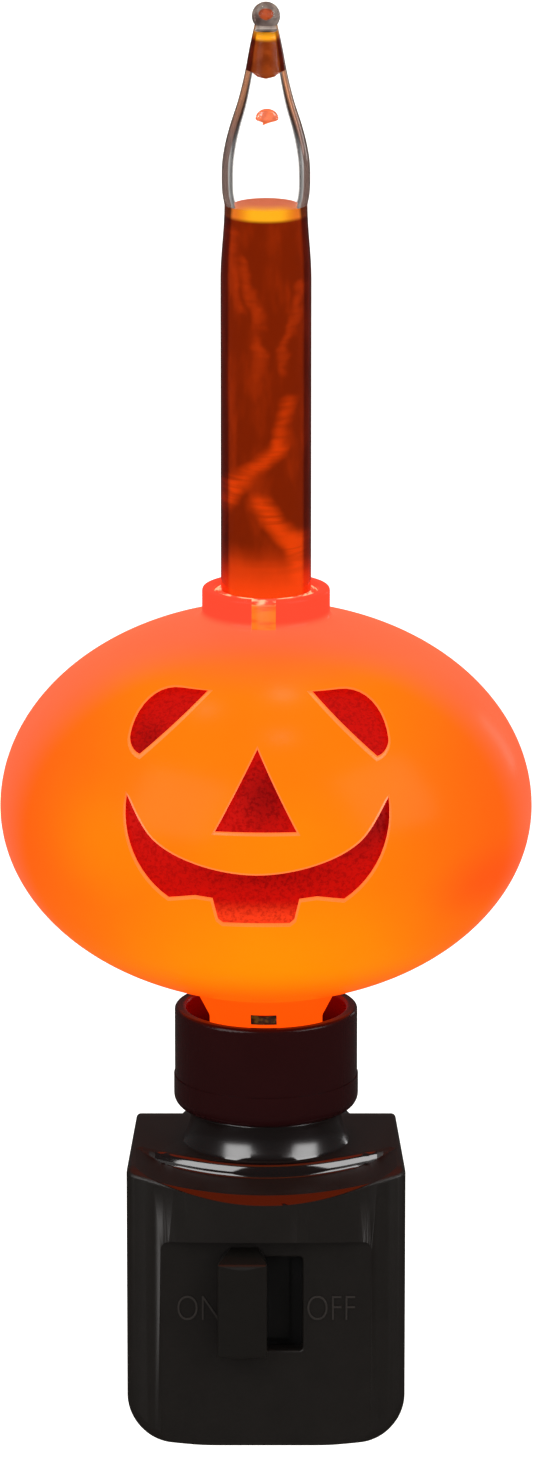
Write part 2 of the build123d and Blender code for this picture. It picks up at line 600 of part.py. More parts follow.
def face_outlines():
    """Eyes, nose and grin in the front view, about the middle of the globe."""
    s = GLOBE_RADIUS / 28.65

    def at(x, z):
        return x * s, z * s

    outlines = []
    for side in (-1, 1):
        tip, brow, corner, low = at(5.3 * side, 16.8), at(8.3 * side, 16.8), at(13.6 * side, 12.4), at(12.5 * side, 10.8)
        outlines.append(make_face([
            Line(tip, brow),
            ThreePointArc(brow, at(12.0 * side, 15.35), corner),
            ThreePointArc(corner, at(13.35 * side, 11.3), low),
            Line(low, tip),
        ]))
    outlines.append(make_face(Polyline(at(0, 12.2), at(-4.35, 4.25), at(4.35, 4.25), close=True)))
    lip = [(13.75, 7.1), (10.95, 3.05), (6.2, 0.8), (0, -0.1)]
    lip += [(-x, z) for x, z in reversed(lip[:-1])]
    chin = [(9.2, -3.2), (6.4, -2.7), (4.55, -2.9), (4.0, -5.3), (3.5, -5.75)]
    chin += [(-x, z) for x, z in reversed(chin)]
    outlines.append(make_face([
        Spline(*[at(x, z) for x, z in lip]),
        ThreePointArc(at(13.75, 7.1), at(12.95, 1.2), at(9.2, -3.2)),
        Polyline(*[at(x, z) for x, z in chin]),
        ThreePointArc(at(-9.2, -3.2), at(-12.95, 1.2), at(-13.75, 7.1)),
    ]))
    return outlines


def globe_shell():
    """Thin globe, open at the collar and the cone, with the face sunk into its front."""
    shell = globe_solid(0) - globe_solid(GLOBE_WALL)
    skin = globe_solid(0) - turned(
        spheroid_edge(FACE_DEPTH, True, 0, 90), spheroid_edge(FACE_DEPTH, False, 0, -90),
        Line((0, GLOBE_Z - GLOBE_LOWER + FACE_DEPTH), (0, GLOBE_Z + GLOBE_UPPER - FACE_DEPTH)),
    )
    for outline in face_outlines():
        drawn = view_plane(AXIS_Y) * Pos(0, GLOBE_Z) * outline
        shell -= extrude(drawn, GLOBE_RADIUS + 1) & skin
    notch_low = GLOBE_Z + COLLAR_TOP - 3.4
    shell -= block((-1.3, 1.3), (AXIS_Y - 2 * COLLAR_RADIUS, AXIS_Y), (notch_low, notch_low + 9)) & ring(
        COLLAR_RADIUS + 1, COLLAR_RADIUS - 2, notch_low, notch_low + 9)
    slot_low = RIM_Z - 0.2
    shell -= block((-1.35, 1.35), (AXIS_Y - 3 * GLOBE_THROAT, AXIS_Y), (slot_low, slot_low + 1))
    return shell


def globe_half(front):
    """One moulding of the globe, parted across the widest line of the front view."""
    reach = 4 * GLOBE_RADIUS
    far = AXIS_Y - reach if front else AXIS_Y + reach
    half = block((-reach, reach), (AXIS_Y, far), (-reach, reach + GLOBE_Z))
    return globe_shell() & half


# ---- bubble tube --------------------------------------------------------------------------
LIQUID_Z = TIP_Z - LIQUID_DROP
SHOULDER_Z = TIP_Z - SHOULDER_DROP
NIP_Z = TIP_Z - 3.8


def tube_barrel(inset):
    """Outline from the rounded foot up to the waist, (radius, height), drawn in by a wall."""
    r = TUBE_RADIUS - inset
    centre = TUBE_Z + TUBE_RADIUS
    diagonal = r * math.sqrt(0.5)
    return (
        ThreePointArc((0, TUBE_Z + inset), (diagonal, centre - diagonal), (r, centre)),
        Line((r, centre), (r, LIQUID_Z - 8)),
        Spline((r, LIQUID_Z - 8), (TUBE_WAIST - inset, LIQUID_Z), tangents=[(0, 1), (0, 1)]),
    )


def tube_shoulder(inset, nip):
    """Outline from the waist up to the drawn neck, (radius, height), drawn in by a wall."""
    full = TUBE_RADIUS - 0.02 - inset
    return Spline((TUBE_WAIST - inset, LIQUID_Z), (full, SHOULDER_Z), (nip + 0.6, NIP_Z - 2.6),
                  (nip, NIP_Z), tangents=[(0, 1), (0, 1)])


def bubble_tube():
    """Sealed glass tube: rounded foot, faint waist at the liquid's surface, drawn neck and tip."""
    tip_centre = TIP_Z - TIP_RADIUS
    join = 0.8 * TIP_RADIUS
    drop = math.sqrt(TIP_RADIUS ** 2 - join ** 2)
    outside = turned(
        *tube_barrel(0), tube_shoulder(0, NIP_RADIUS),
        Line((NIP_RADIUS, NIP_Z), (join, tip_centre - drop)),
        ThreePointArc((join, tip_centre - drop), (TIP_RADIUS, tip_centre), (0, TIP_Z)),
        Line((0, TIP_Z), (0, TUBE_Z)),
    )
    nip = NIP_RADIUS - 1.0
    bore = turned(
        *tube_barrel(TUBE_WALL), tube_shoulder(TUBE_WALL, nip),
        Line((nip, NIP_Z), (0, NIP_Z)), Line((0, NIP_Z), (0, TUBE_Z + TUBE_WALL)),
    )
    return outside - bore


def bubble_liquid():
    """Filling of the tube up to a dished surface."""
    inset = TUBE_WALL + SEAT
    rim = TUBE_WAIST - inset
    dish = 0.35
    flat = 0.1 * rim
    return turned(
        *tube_barrel(inset),
        ThreePointArc((rim, LIQUID_Z), (rim / 2, LIQUID_Z - 0.75 * dish), (flat, LIQUID_Z - dish)),
        Polyline((flat, LIQUID_Z - dish), (0, LIQUID_Z - dish), (0, TUBE_Z + inset)),
    )


def tube_grip_ring():
    """Soft ring that holds the tube in the collar."""
    top = GLOBE_Z + COLLAR_TOP - 1.4
    return ring(COLLAR_RADIUS - THROAT_WALL - SEAT, TUBE_RADIUS + SEAT, top - GRIP_HEIGHT, top)


NODES = {
    "housing_shell": housing_shell,
    "housing_back_cover": back_cover,
    "socket_cup": socket_cup,
    "socket_insulator": socket_insulator,
    "socket_screw_shell": socket_screw_shell,
    "socket_centre_contact": socket_centre_contact,
    "lamp_strip": lamp_strip,
    "line_strip": line_strip,
    "neutral_strip": neutral_strip,
    "switch_slider": switch_slider,
    "switch_knob": switch_knob,
    "switch_bridge": switch_bridge,
    "plug_body": plug_body,
    "plug_retaining_ring": retaining_ring,
    "plug_contact_stud": stud_contact,
    "plug_contact_ring": outer_contact_ring,
    "blade_left": lambda: blade(-1),
    "blade_right": lambda: blade(1),
    "lamp_screw_shell": lamp_screw_shell,
    "lamp_insulator": lamp_insulator,
    "lamp_centre_contact": lamp_centre_contact,
    "lamp_core": lamp_core,
    "bulb_envelope": bulb_envelope,
    "bulb_stem": bulb_stem,
    "bulb_lead_left": lambda: bulb_lead(-1),
    "bulb_lead_right": lambda: bulb_lead(1),
    "bulb_filament": bulb_filament,
    "globe_front": lambda: globe_half(True),
    "globe_back": lambda: globe_half(False),
    "tube_grip_ring": tube_grip_ring,
    "bubble_tube": bubble_tube,
    "bubble_liquid": bubble_liquid,
}


def main():
    os.makedirs("parts", exist_ok=True)
    for node, make in NODES.items():
        export_step(make(), f"parts/{node}.step")


if __name__ == "__main__":
    main()
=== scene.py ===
"""Plug-in bubble night light: pumpkin globe, bubble tube, holder, switch and plug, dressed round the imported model.

Metres. +Y runs into the wall, +X is to the right as seen from the front and +Z is up.
Outlines are drawn as (radius, height) about the lamp axis, in millimetres.
"""
import math

import bpy
from mathutils import Matrix, Vector


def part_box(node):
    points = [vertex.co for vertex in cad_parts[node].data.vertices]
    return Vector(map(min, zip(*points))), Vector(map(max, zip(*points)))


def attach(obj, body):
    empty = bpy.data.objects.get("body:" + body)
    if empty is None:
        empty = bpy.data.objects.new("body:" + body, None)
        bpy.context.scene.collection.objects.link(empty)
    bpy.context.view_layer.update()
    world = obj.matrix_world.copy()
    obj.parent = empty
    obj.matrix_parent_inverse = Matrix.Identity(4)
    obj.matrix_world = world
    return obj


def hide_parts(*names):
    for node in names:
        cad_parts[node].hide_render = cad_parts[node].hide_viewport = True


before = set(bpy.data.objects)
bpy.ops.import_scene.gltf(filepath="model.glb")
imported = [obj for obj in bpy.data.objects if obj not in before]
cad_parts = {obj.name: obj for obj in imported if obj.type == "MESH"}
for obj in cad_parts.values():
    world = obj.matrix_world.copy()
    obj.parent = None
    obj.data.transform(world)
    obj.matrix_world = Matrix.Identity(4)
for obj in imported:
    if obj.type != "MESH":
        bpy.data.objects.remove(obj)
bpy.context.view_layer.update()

bl_info = {
    "name": "Bubble Night Light",
    "version": (1, 0, 0),
    "blender": (4, 5, 0),
    "location": "View3D > Sidebar > Night Light",
    "description": "Builds the pumpkin globe, bubble tube, threads, lettering and finishes of a plug-in night light",
    "category": "Object",
}

MM = 0.001
BLACK = (0, 0, 0)
WHITE = (1, 1, 1)


def node_box_mm(node):
    """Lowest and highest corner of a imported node, in millimetres."""
    return [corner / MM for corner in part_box(node)]


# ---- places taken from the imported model, in millimetres --------------------------------------
TUBE_LOW, TUBE_HIGH = node_box_mm("bubble_tube")
GLOBE_LOW, GLOBE_HIGH = node_box_mm("globe_front")
SHELL_LOW, SHELL_HIGH = node_box_mm("housing_shell")
LAMP_SHELL_LOW, LAMP_SHELL_HIGH = node_box_mm("lamp_screw_shell")
SOCKET_LOW, SOCKET_HIGH = node_box_mm("socket_screw_shell")
AXIS_Y = (TUBE_LOW.y + TUBE_HIGH.y) / 2
RIM_Z = node_box_mm("socket_cup")[1].z
LIQUID_Z = node_box_mm("bubble_liquid")[1].z
TOP_Z = -SHELL_LOW.z
FRONT_Y = SHELL_LOW.y
PANEL_Y = FRONT_Y + 2.0
TUBE_RADIUS = TUBE_HIGH.x
TIP_Z = TUBE_HIGH.z - 1.45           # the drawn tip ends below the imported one
THROAT_Z = GLOBE_LOW.z
COLLAR_TOP = GLOBE_HIGH.z

# ---- the globe's own form, in millimetres ----------------------------------------------------
GLOBE_Z = RIM_Z + 22.5               # widest line
GLOBE_RADIUS = GLOBE_HIGH.x - 0.03   # the mouldings are drawn apart by less than this
GLOBE_UPPER = 21.5                   # semi-axis above the widest line
GLOBE_LOWER = 20.6                   # semi-axis below it
GLOBE_MIDDLE = (0, AXIS_Y, GLOBE_Z)
COLLAR_RADIUS = 6.85
THROAT_RADIUS = 6.1
EDGE_RADIUS = 0.4                    # round on the collar's lip


# ---- settings -------------------------------------------------------------------------------
def shade(code):
    """A #RRGGBB colour in linear light."""
    values = [int(code[i:i + 2], 16) / 255 for i in (1, 3, 5)]
    return [v / 12.92 if v <= 0.04045 else ((v + 0.055) / 1.055) ** 2.4 for v in values]


def length(name, description, default):
    """A length setting, given in millimetres."""
    return bpy.props.FloatProperty(name=name, description=description, default=default * MM, unit="LENGTH", precision=5)


def angle(name, description, default):
    """An angle setting, given in degrees."""
    return bpy.props.FloatProperty(name=name, description=description, default=math.radians(default), unit="ROTATION")


def amount(name, description, default):
    """A plain number."""
    return bpy.props.FloatProperty(name=name, description=description, default=default, precision=3)


def colour(name, description, code):
    """A colour setting, given as #RRGGBB."""
    return bpy.props.FloatVectorProperty(name=name, description=description, default=shade(code), subtype="COLOR",
                                         min=0, max=1)


class PumpkinSettings(bpy.types.PropertyGroup):
    """Sizes and colours of the pumpkin globe."""
    wall: length("Wall", "Thickness of the moulded globe", 1.5)
    throat_wall: length("Throat wall", "Thickness of the collar and the throat", 1.2)
    turn: angle("Turn", "How far the lamp stands turned in its holder", -2.2)
    pocket_depth: length("Pocket depth", "Depth of the eyes, nose and grin", 0.7)
    rim_width: length("Rim width", "Width of the step round each pocket", 0.22)
    rim_depth: length("Rim depth", "Depth of the step round each pocket", 0.2)
    parting: length("Parting", "Half of the hairline gap between the two mouldings", 0.02)
    glow: amount("Glow", "Strength of the light from the skin", 1.5)
    skin: colour("Skin", "Unlit plastic", "#4A1004")
    heart: colour("Heart", "Brightest part, low in the middle", "#FF9A00")
    middle: colour("Middle", "Most of the skin", "#FD7E06")
    flank: colour("Flank", "Skin towards the sides", "#FF6210")
    crown: colour("Crown", "Skin round the collar", "#FC5E3A")
    underside: colour("Underside", "Skin under the globe", "#F85606")
    # Painted sheen: coral along the globe's outline, standing in for the reflection of the white surroundings.
    painted_edge_sheen: colour("Painted edge sheen", "Skin seen along its edge", "#FD6E4C")
    # Painted shade: a deeper patch low on the right side of the globe.
    painted_shade_patch: colour("Painted shade patch", "Deeper patch on the right side", "#FA4A14")
    collar: colour("Collar", "Upright collar", "#FD4A32")
    pocket: colour("Pocket", "Floor of the eyes, nose and grin", "#C60C05")
    pocket_dark: colour("Pocket shade", "Shaded part of each pocket", "#780102")
    chin: colour("Chin", "Lit lower edge of the grin", "#F63C18")
    # The rim's paleness is a painted highlight of light along each pocket's edge.
    rim: colour("Rim", "Step round each pocket", "#FF7630")


class TubeSettings(bpy.types.PropertyGroup):
    """Sizes and colours of the bubble tube."""
    wall: length("Wall", "Thickness of the glass", 0.75)
    waist: length("Waist", "Radius at the level of the liquid", 4.4)
    nip: length("Nip", "Radius of the drawn neck under the tip", 1.45)
    tip: length("Tip", "Radius of the sealed tip", 1.5)
    bite: length("Bite", "How far the liquid reaches into the glass, so that no air shows between", 0.02)
    drop: length("Drop", "Size of the drop that hangs in the empty part", 1.15)
    # Edge tints of the wall by height: painted shade along the wall's edge, and a painted orange glow at the foot.
    glass_edge: colour("Glass edge", "Glass seen along its wall", "#281814")
    glass_low: colour("Glass low", "Wall of the full part", "#6A4438")
    glass_neck: colour("Glass neck", "Wall of the drawn neck", "#5E2812")
    glass_foot: colour("Glass foot", "Wall just above the collar", "#F08060")
    # Painted shade: the thin dark line where the bore is seen along its wall.
    glass_bore: colour("Glass bore", "Bore seen along its wall", "#120A08")
    glass_tip: colour("Glass tip", "Sealed tip", "#4E3E3A")
    liquid: colour("Liquid", "Most of the liquid", "#721D03")
    liquid_red: colour("Liquid wisps", "Streaks in the upper part", "#A83008")
    liquid_low: colour("Liquid glow", "Swirls in the lower part", "#D43C06")
    surface: colour("Surface", "Lit surface of the liquid", "#F5A81C")
    surface_side: colour("Surface ends", "Ends of the lit surface", "#D2601A")
    surface_back: colour("Surface back", "Far side of the lit surface", "#C8684A")
    # Painted glow: the liquid brighter near the collar, nearest the lit globe.
    liquid_foot: colour("Liquid foot", "Liquid near the collar", "#EE420E")
    neck_dark: colour("Neck shade", "Liquid in the neck", "#6E2A0C")
    neck_light: colour("Neck light", "Paler part of the liquid in the neck", "#8A3A12")
    neck_top: colour("Neck top", "Liquid in the neck where it meets the tip", "#F5A01C")
    drop_dark: colour("Drop shade", "Hanging drop", "#B4532E")
    drop_light: colour("Drop light", "Paler part of the hanging drop", "#D9683C")


class ThreadSettings(bpy.types.PropertyGroup):
    """Sizes of the rolled candelabra thread."""
    pitch: length("Pitch", "Rise of the thread in one turn", 2.54)
    depth: length("Depth", "Crest to root", 0.38)
    sheet: length("Sheet", "Thickness of the rolled metal", 0.3)
    clearance: length("Clearance", "Gap between the lamp's thread and the holder's", 0.08)


class LetteringSettings(bpy.types.PropertyGroup):
    """Raised words beside the switch."""
    height: length("Height", "Height of the capitals", 2.9)
    proud: length("Proud", "How far the letters stand out of the panel", 0.1)
    thinning: length("Thinning", "How much each stroke is drawn in", 0.075)
    squeeze: amount("Squeeze", "Width of a letter against its normal width", 0.75)
    on_middle: length("On", "Middle of the left word from the middle of the panel", -7.25)
    off_middle: length("Off", "Middle of the right word from the middle of the panel", 7.0)
    level: length("Level", "Middle of the words above the middle of the housing", 0.15)


class FinishSettings(bpy.types.PropertyGroup):
    """Colours of the plastics and metals."""
    housing: colour("Housing", "Black moulding", "#1F1B18")
    holder: colour("Holder", "Lamp holder cup", "#2A0F10")
    holder_lit: colour("Holder inside", "Inside of the cup, in the lamp's light", "#6A120A")
    knob: colour("Knob", "Switch knob", "#1C1916")
    slider: colour("Slider", "Plate behind the slot", "#13100E")
    phenolic: colour("Phenolic", "Moulded insulator", "#3A2317")
    nickel: colour("Nickel", "Plating on the blades and the lamp's shell", "#B9B4A6")
    steel: colour("Steel", "Springs, ring and leads", "#A5A6A8")
    brass: colour("Brass", "Contacts and the holder's shell", "#B8893E")
    solder: colour("Solder", "Tip of the lamp's foot", "#A9ABAE")
    black_glass: colour("Black glass", "Button in the lamp's foot", "#0B080A")
    silicone: colour("Silicone", "Soft ring round the tube", "#FF7A18")
    filament: colour("Filament", "Lit wire", "#FFC060")
    ring_deep: colour("Ring bars", "Deeper bars in the soft ring", "#FF5A14")
    lip_deep: colour("Ring lip", "Lip of the soft ring", "#F84420")
    lip_glint: colour("Lip glints", "Glints on the lip", "#FFC090")


class StageSettings(bpy.types.PropertyGroup):
    """Camera, lights and floor."""
    distance: length("Distance", "Camera to the lamp", 900)
    elevation: angle("Elevation", "How far the camera looks down", 14.5)
    aim_side: length("Aim across", "Middle of the view beside the lamp axis", 0.32)
    aim_height: length("Aim height", "Middle of the view above the plug", 61.27)
    view_height: length("View height", "Height of the view at the lamp", 156.63)
    floor_drop: length("Floor drop", "Floor below the plug's middle", 150)
    floor: colour("Floor", "Plain pale floor", "#E9E7E4")
    ambient: amount("Ambient", "Level of the plain light from all round", 0.85)
    room_front: amount("Room in front", "What gloss shows of the room in front", 0.09)
    room_back: amount("Room behind", "What gloss shows of the wall behind", 0.1)


SETTINGS = {
    "night_light_pumpkin": PumpkinSettings,
    "night_light_tube": TubeSettings,
    "night_light_threads": ThreadSettings,
    "night_light_lettering": LetteringSettings,
    "night_light_finishes": FinishSettings,
    "night_light_stage": StageSettings,
}


def settings(part):
    """The settings of one part of the night light."""
    return getattr(bpy.context.scene, "night_light_" + part)


# ---- drawing and shaping --------------------------------------------------------------------
def deselect():
    """Nothing selected, in object mode."""
    if bpy.context.mode != "OBJECT":
        bpy.ops.object.mode_set(mode="OBJECT")
    bpy.ops.object.select_all(action="DESELECT")


def take(piece):
    """Only this piece is selected and active."""
    deselect()
    piece.select_set(True)
    bpy.context.view_layer.objects.active = piece


def edit(piece):
    """All of the piece is selected in edit mode."""
    take(piece)
    bpy.ops.object.mode_set(mode="EDIT")
    bpy.ops.mesh.select_all(action="SELECT")


def settle(piece):
    """Turn and place go into the mesh, so that the object sits at the origin."""
    take(piece)
    bpy.ops.object.transform_apply(location=True, rotation=True, scale=True)


def draw(name, points, closed=False):
    """An outline drawn point by point, in millimetres, left selected in edit mode."""
    places = [Vector(p) * MM for p in points]
    if closed:
        places.append(places[0])
    deselect()
    bpy.ops.mesh.primitive_plane_add(size=MM, location=places[0])
    piece = bpy.context.active_object
    piece.name = piece.data.name = name
    settle(piece)
    edit(piece)
    bpy.ops.mesh.merge(type="CENTER")
    for here, there in zip(places, places[1:]):
        bpy.ops.mesh.extrude_vertices_move(TRANSFORM_OT_translate={"value": there - here})
    bpy.ops.mesh.select_all(action="SELECT")
    if closed:
        bpy.ops.mesh.remove_doubles(threshold=1e-6)
    return piece


def section(outline):
    """(radius, height) points set on the lamp's own section, to the right of its axis."""
    return [(r, AXIS_Y, z) for r, z in outline]


def outwards(piece):
    """Merged doubles and normals outwards."""
    edit(piece)
    bpy.ops.mesh.remove_doubles(threshold=2e-6)
    bpy.ops.mesh.normals_make_consistent(inside=False)


def smooth(piece, corner=35):
    """Smooth faces with crisp corners from this many degrees."""
    take(piece)
    bpy.ops.object.shade_smooth_by_angle(angle=math.radians(corner))


def close_up(piece, corner=35):
    """A closed form with its normals outwards and smooth faces between crisp corners."""
    outwards(piece)
    smooth(piece, corner)
    return piece


def joined(pieces):
    """The pieces as one, under the name of the first."""
    deselect()
    for piece in pieces:
        piece.select_set(True)
    bpy.context.view_layer.objects.active = pieces[0]
    bpy.ops.object.join()
    return pieces[0]


def turned(name, outline, closed=True, steps=96):
    """An outline spun once round the lamp axis."""
    piece = draw(name, section(outline), closed)
    bpy.ops.mesh.spin(steps=steps, angle=2 * math.pi, center=(0, AXIS_Y * MM, 0), axis=(0, 0, 1))
    return close_up(piece)


def half_turned(name, outline, side, steps=96):
    """A closed outline spun half way round: side -1 is the front and 1 is the back."""
    piece = draw(name, section(outline), closed=True)
    bpy.ops.mesh.edge_face_add()
    bpy.ops.mesh.spin(steps=steps, angle=math.pi, center=(0, AXIS_Y * MM, 0), axis=(0, 0, -side))
    return close_up(piece)


def modify(piece, kind, **values):
    """A modifier with these values, applied."""
    take(piece)
    modifier = piece.modifiers.new(kind.title(), kind)
    for key, value in values.items():
        setattr(modifier, key, value)
    bpy.ops.object.modifier_apply(modifier=modifier.name)


def cut(piece, tool, operation="DIFFERENCE"):
    """The tool is cut from the piece, or all but it, and is gone."""
    modify(piece, "BOOLEAN", operation=operation, object=tool, solver="EXACT")
    bpy.data.objects.remove(tool)


def block(name, low, high):
    """A plain block between two corners in millimetres, for cutting."""
    low, high = Vector(low) * MM, Vector(high) * MM
    deselect()
    bpy.ops.mesh.primitive_cube_add(size=1, location=(low + high) / 2, scale=high - low)
    piece = bpy.context.active_object
    piece.name = name
    settle(piece)
    return piece


def prisms(name, outlines, near, far):
    """Closed outlines in the front view pushed back into prisms, from one depth to another."""
    made = []
    for i, outline in enumerate(outlines):
        piece = draw(f"{name}_{i}", [(x, near, z) for x, z in outline], closed=True)
        bpy.ops.mesh.edge_face_add()
        bpy.ops.mesh.extrude_region_move(TRANSFORM_OT_translate={"value": (0, (far - near) * MM, 0)})
        bpy.ops.mesh.select_all(action="SELECT")
        bpy.ops.mesh.normals_make_consistent(inside=False)
        made.append(piece)
    return joined(made)


def wear(piece, *materials):
    """Material slots of a new piece, in order."""
    for material in materials:
        piece.data.materials.append(material)


def all_faces(piece, slot):
    """Every face of a cutting tool takes this material slot."""
    for face in piece.data.polygons:
        face.material_index = slot


def finish_piece(piece, body, slot, *nodes):
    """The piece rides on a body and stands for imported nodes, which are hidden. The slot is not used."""
    settle(piece)
    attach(piece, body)
    if nodes:
        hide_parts(*nodes)


# ---- outlines -------------------------------------------------------------------------------
def arc(radii, start, end, count, middle=GLOBE_Z):
    """Points on a circle or an ellipse about the axis, by angle in degrees."""
    across, up = radii
    turns = [math.radians(start + (end - start) * i / count) for i in range(count + 1)]
    return [(across * math.cos(t), middle + up * math.sin(t)) for t in turns]


def bent(a, b, c, count=8):
    """A curve from a to c that leaves towards b."""
    curve = []
    for i in range(1, count):
        t = i / count
        curve.append(tuple((1 - t) ** 2 * p + 2 * t * (1 - t) * q + t * t * r for p, q, r in zip(a, b, c)))
    return curve


def flowing(points, count=8):
    """A smooth curve through the points, level at neither end."""
    path = [points[0]] + list(points) + [points[-1]]
    curve = []
    for a, b, c, d in zip(path, path[1:], path[2:], path[3:]):
        for i in range(count):
            t = i / count
            curve.append(tuple(
                0.5 * (2 * q + (r - p) * t + (2 * p - 5 * q + 4 * r - s) * t * t + (3 * q - p - 3 * r + s) * t ** 3)
                for p, q, r, s in zip(a, b, c, d)))
    return curve + [points[-1]]


def angle_at(radius, across):
    """Angle on the globe's ellipse at a distance from the axis."""
    return math.degrees(math.acos(radius / across))


def lip_round(radius, z):
    """The rounded outer corner of a lip."""
    corner = (radius, z)
    start, end = (radius, z - EDGE_RADIUS), (radius - EDGE_RADIUS, z)
    return [start] + bent(start, corner, end, 5) + [end]


def globe_outline():
    """Closed section of the globe: throat, cone, spheroid and collar, outside and then inside."""
    look = settings("pumpkin")
    wall, thin = look.wall / MM, look.throat_wall / MM
    cone_foot, cone_top, cone_corner = (6.4, RIM_Z - 0.4), (7.55, RIM_Z + 1.85), (8.0, RIM_Z + 2.7)
    throat_top = (THROAT_RADIUS, RIM_Z - 1.3)
    lower = arc((GLOBE_RADIUS, GLOBE_LOWER), -angle_at(9.6, GLOBE_RADIUS), 0, 60)
    upper = arc((GLOBE_RADIUS, GLOBE_UPPER), 0, angle_at(7.9, GLOBE_RADIUS), 60)[1:]
    neck_z = upper[-1][1]
    collar_foot = (COLLAR_RADIUS, neck_z + 1.0)
    outside = [(THROAT_RADIUS, THROAT_Z), throat_top]
    outside += bent(throat_top, (THROAT_RADIUS, RIM_Z - 0.9), cone_foot, 4) + [cone_foot, cone_top]
    outside += bent(cone_top, cone_corner, lower[0]) + lower + upper
    outside += bent(upper[-1], (COLLAR_RADIUS, neck_z + 0.25), collar_foot) + [collar_foot]
    outside += lip_round(COLLAR_RADIUS, COLLAR_TOP)
    inner_radius, bore, throat_bore = GLOBE_RADIUS - wall, COLLAR_RADIUS - thin, THROAT_RADIUS - thin
    inside = [(bore + 0.2, COLLAR_TOP), (bore, COLLAR_TOP - 0.2)]
    inside += arc((inner_radius, GLOBE_UPPER - wall), angle_at(bore, inner_radius), 0, 60)
    inside += arc((inner_radius, GLOBE_LOWER - wall), 0, -angle_at(8.3, inner_radius), 60)[1:]
    inside += [(6.8, cone_corner[1]), (throat_bore, RIM_Z - 0.9), (throat_bore, THROAT_Z)]
    return outside + inside


def mirrored(outline):
    """The outline turned over left to right, from its last point to its first."""
    return [(-x, z) for x, z in reversed(outline)]


def face_outlines():
    """Eyes, nose and grin in the front view, in millimetres."""
    brow = (8.3, 16.8)
    eye = [(5.3, 16.8), brow] + three_point(brow, (12.0, 15.35), (13.6, 12.4), 10)
    eye += three_point((13.6, 12.4), (13.35, 11.3), (12.5, 10.8), 6)
    outlines = [[(side * x, z) for x, z in eye] for side in (-1, 1)]
    outlines.append([(0, 12.2), (-4.35, 4.25), (4.35, 4.25)])
    lip = [(13.75, 7.1), (10.95, 3.05), (6.2, 0.8), (0, -0.1)]
    lip = flowing(lip + mirrored(lip[:-1]))
    jaw = three_point((-13.75, 7.1), (-12.95, 1.2), (-9.2, -3.2), 12)
    jaw += [(-6.4, -2.7), (-4.55, -2.9), (-4.0, -5.3), (-3.5, -5.75)]
    outlines.append(lip + jaw + mirrored(jaw))
    return [[(x, GLOBE_Z + z) for x, z in outline] for outline in outlines]


def spread(outline, by):
    """The outline moved outwards by a small step."""
    count = len(outline)
    area = sum(outline[i - 1][0] * outline[i][1] - outline[i][0] * outline[i - 1][1] for i in range(count))
    way = math.copysign(by, area)
    moved = []
    for i, (x, z) in enumerate(outline):
        before, after = outline[i - 1], outline[(i + 1) % count]
        sides = [Vector((z - before[1], before[0] - x)).normalized(),
                 Vector((after[1] - z, x - after[0])).normalized()]
        out = (sides[0] + sides[1]).normalized()
        reach = way / max(out.dot(sides[0]), 0.6)
        moved.append((x + out.x * reach, z + out.y * reach))
    return moved


def three_point(a, b, c, count):
    """Points on the circle through three points, after the first and up to the last."""
    (ax, ay), (bx, by), (cx, cy) = a, b, c
    d = 2 * (ax * (by - cy) + bx * (cy - ay) + cx * (ay - by))
    sa, sb, sc = ax * ax + ay * ay, bx * bx + by * by, cx * cx + cy * cy
    mx = (sa * (by - cy) + sb * (cy - ay) + sc * (ay - by)) / d
    my = (sa * (cx - bx) + sb * (ax - cx) + sc * (bx - ax)) / d
    radius = math.dist(a, (mx, my))
    first, last = (math.atan2(p[1] - my, p[0] - mx) for p in (a, c))
    sweep = (last - first + math.pi) % (2 * math.pi) - math.pi
    return [(mx + radius * math.cos(first + sweep * i / count), my + radius * math.sin(first + sweep * i / count))
            for i in range(1, count + 1)]


def barrel(inset):
    """Section of the tube from its rounded foot up to the liquid's surface, narrowing a little at the top."""
    radius, waist = TUBE_RADIUS - inset, settings("tube").waist / MM - inset
    points = arc((radius, radius), -90, 0, 16, TUBE_LOW.z + TUBE_RADIUS)
    points[0] = (0, points[0][1])
    narrowing, steps = 8, 8
    for i in range(steps + 1):
        t = i / steps
        points.append((radius + (waist - radius) * t * t * (3 - 2 * t), LIQUID_Z - narrowing * (1 - t)))
    return points


def shoulder(inset, nip):
    """Section of the tube from the liquid's surface up to the drawn neck."""
    waist = settings("tube").waist / MM - inset
    full = TUBE_RADIUS - 0.05 - inset
    # share of the way from the neck to the full width, at drops below the tip
    shares = [(0.96, 20.1), (0.96, 17.4), (0.87, 15.3), (0.7, 13.1), (0.45, 10.5), (0.25, 7.8), (0.1, 5.1)]
    points = [(nip + (full - nip) * share, TIP_Z - drop) for share, drop in shares]
    return flowing([(waist, LIQUID_Z)] + points + [(nip, TIP_Z - 3.5)], 6)[1:]


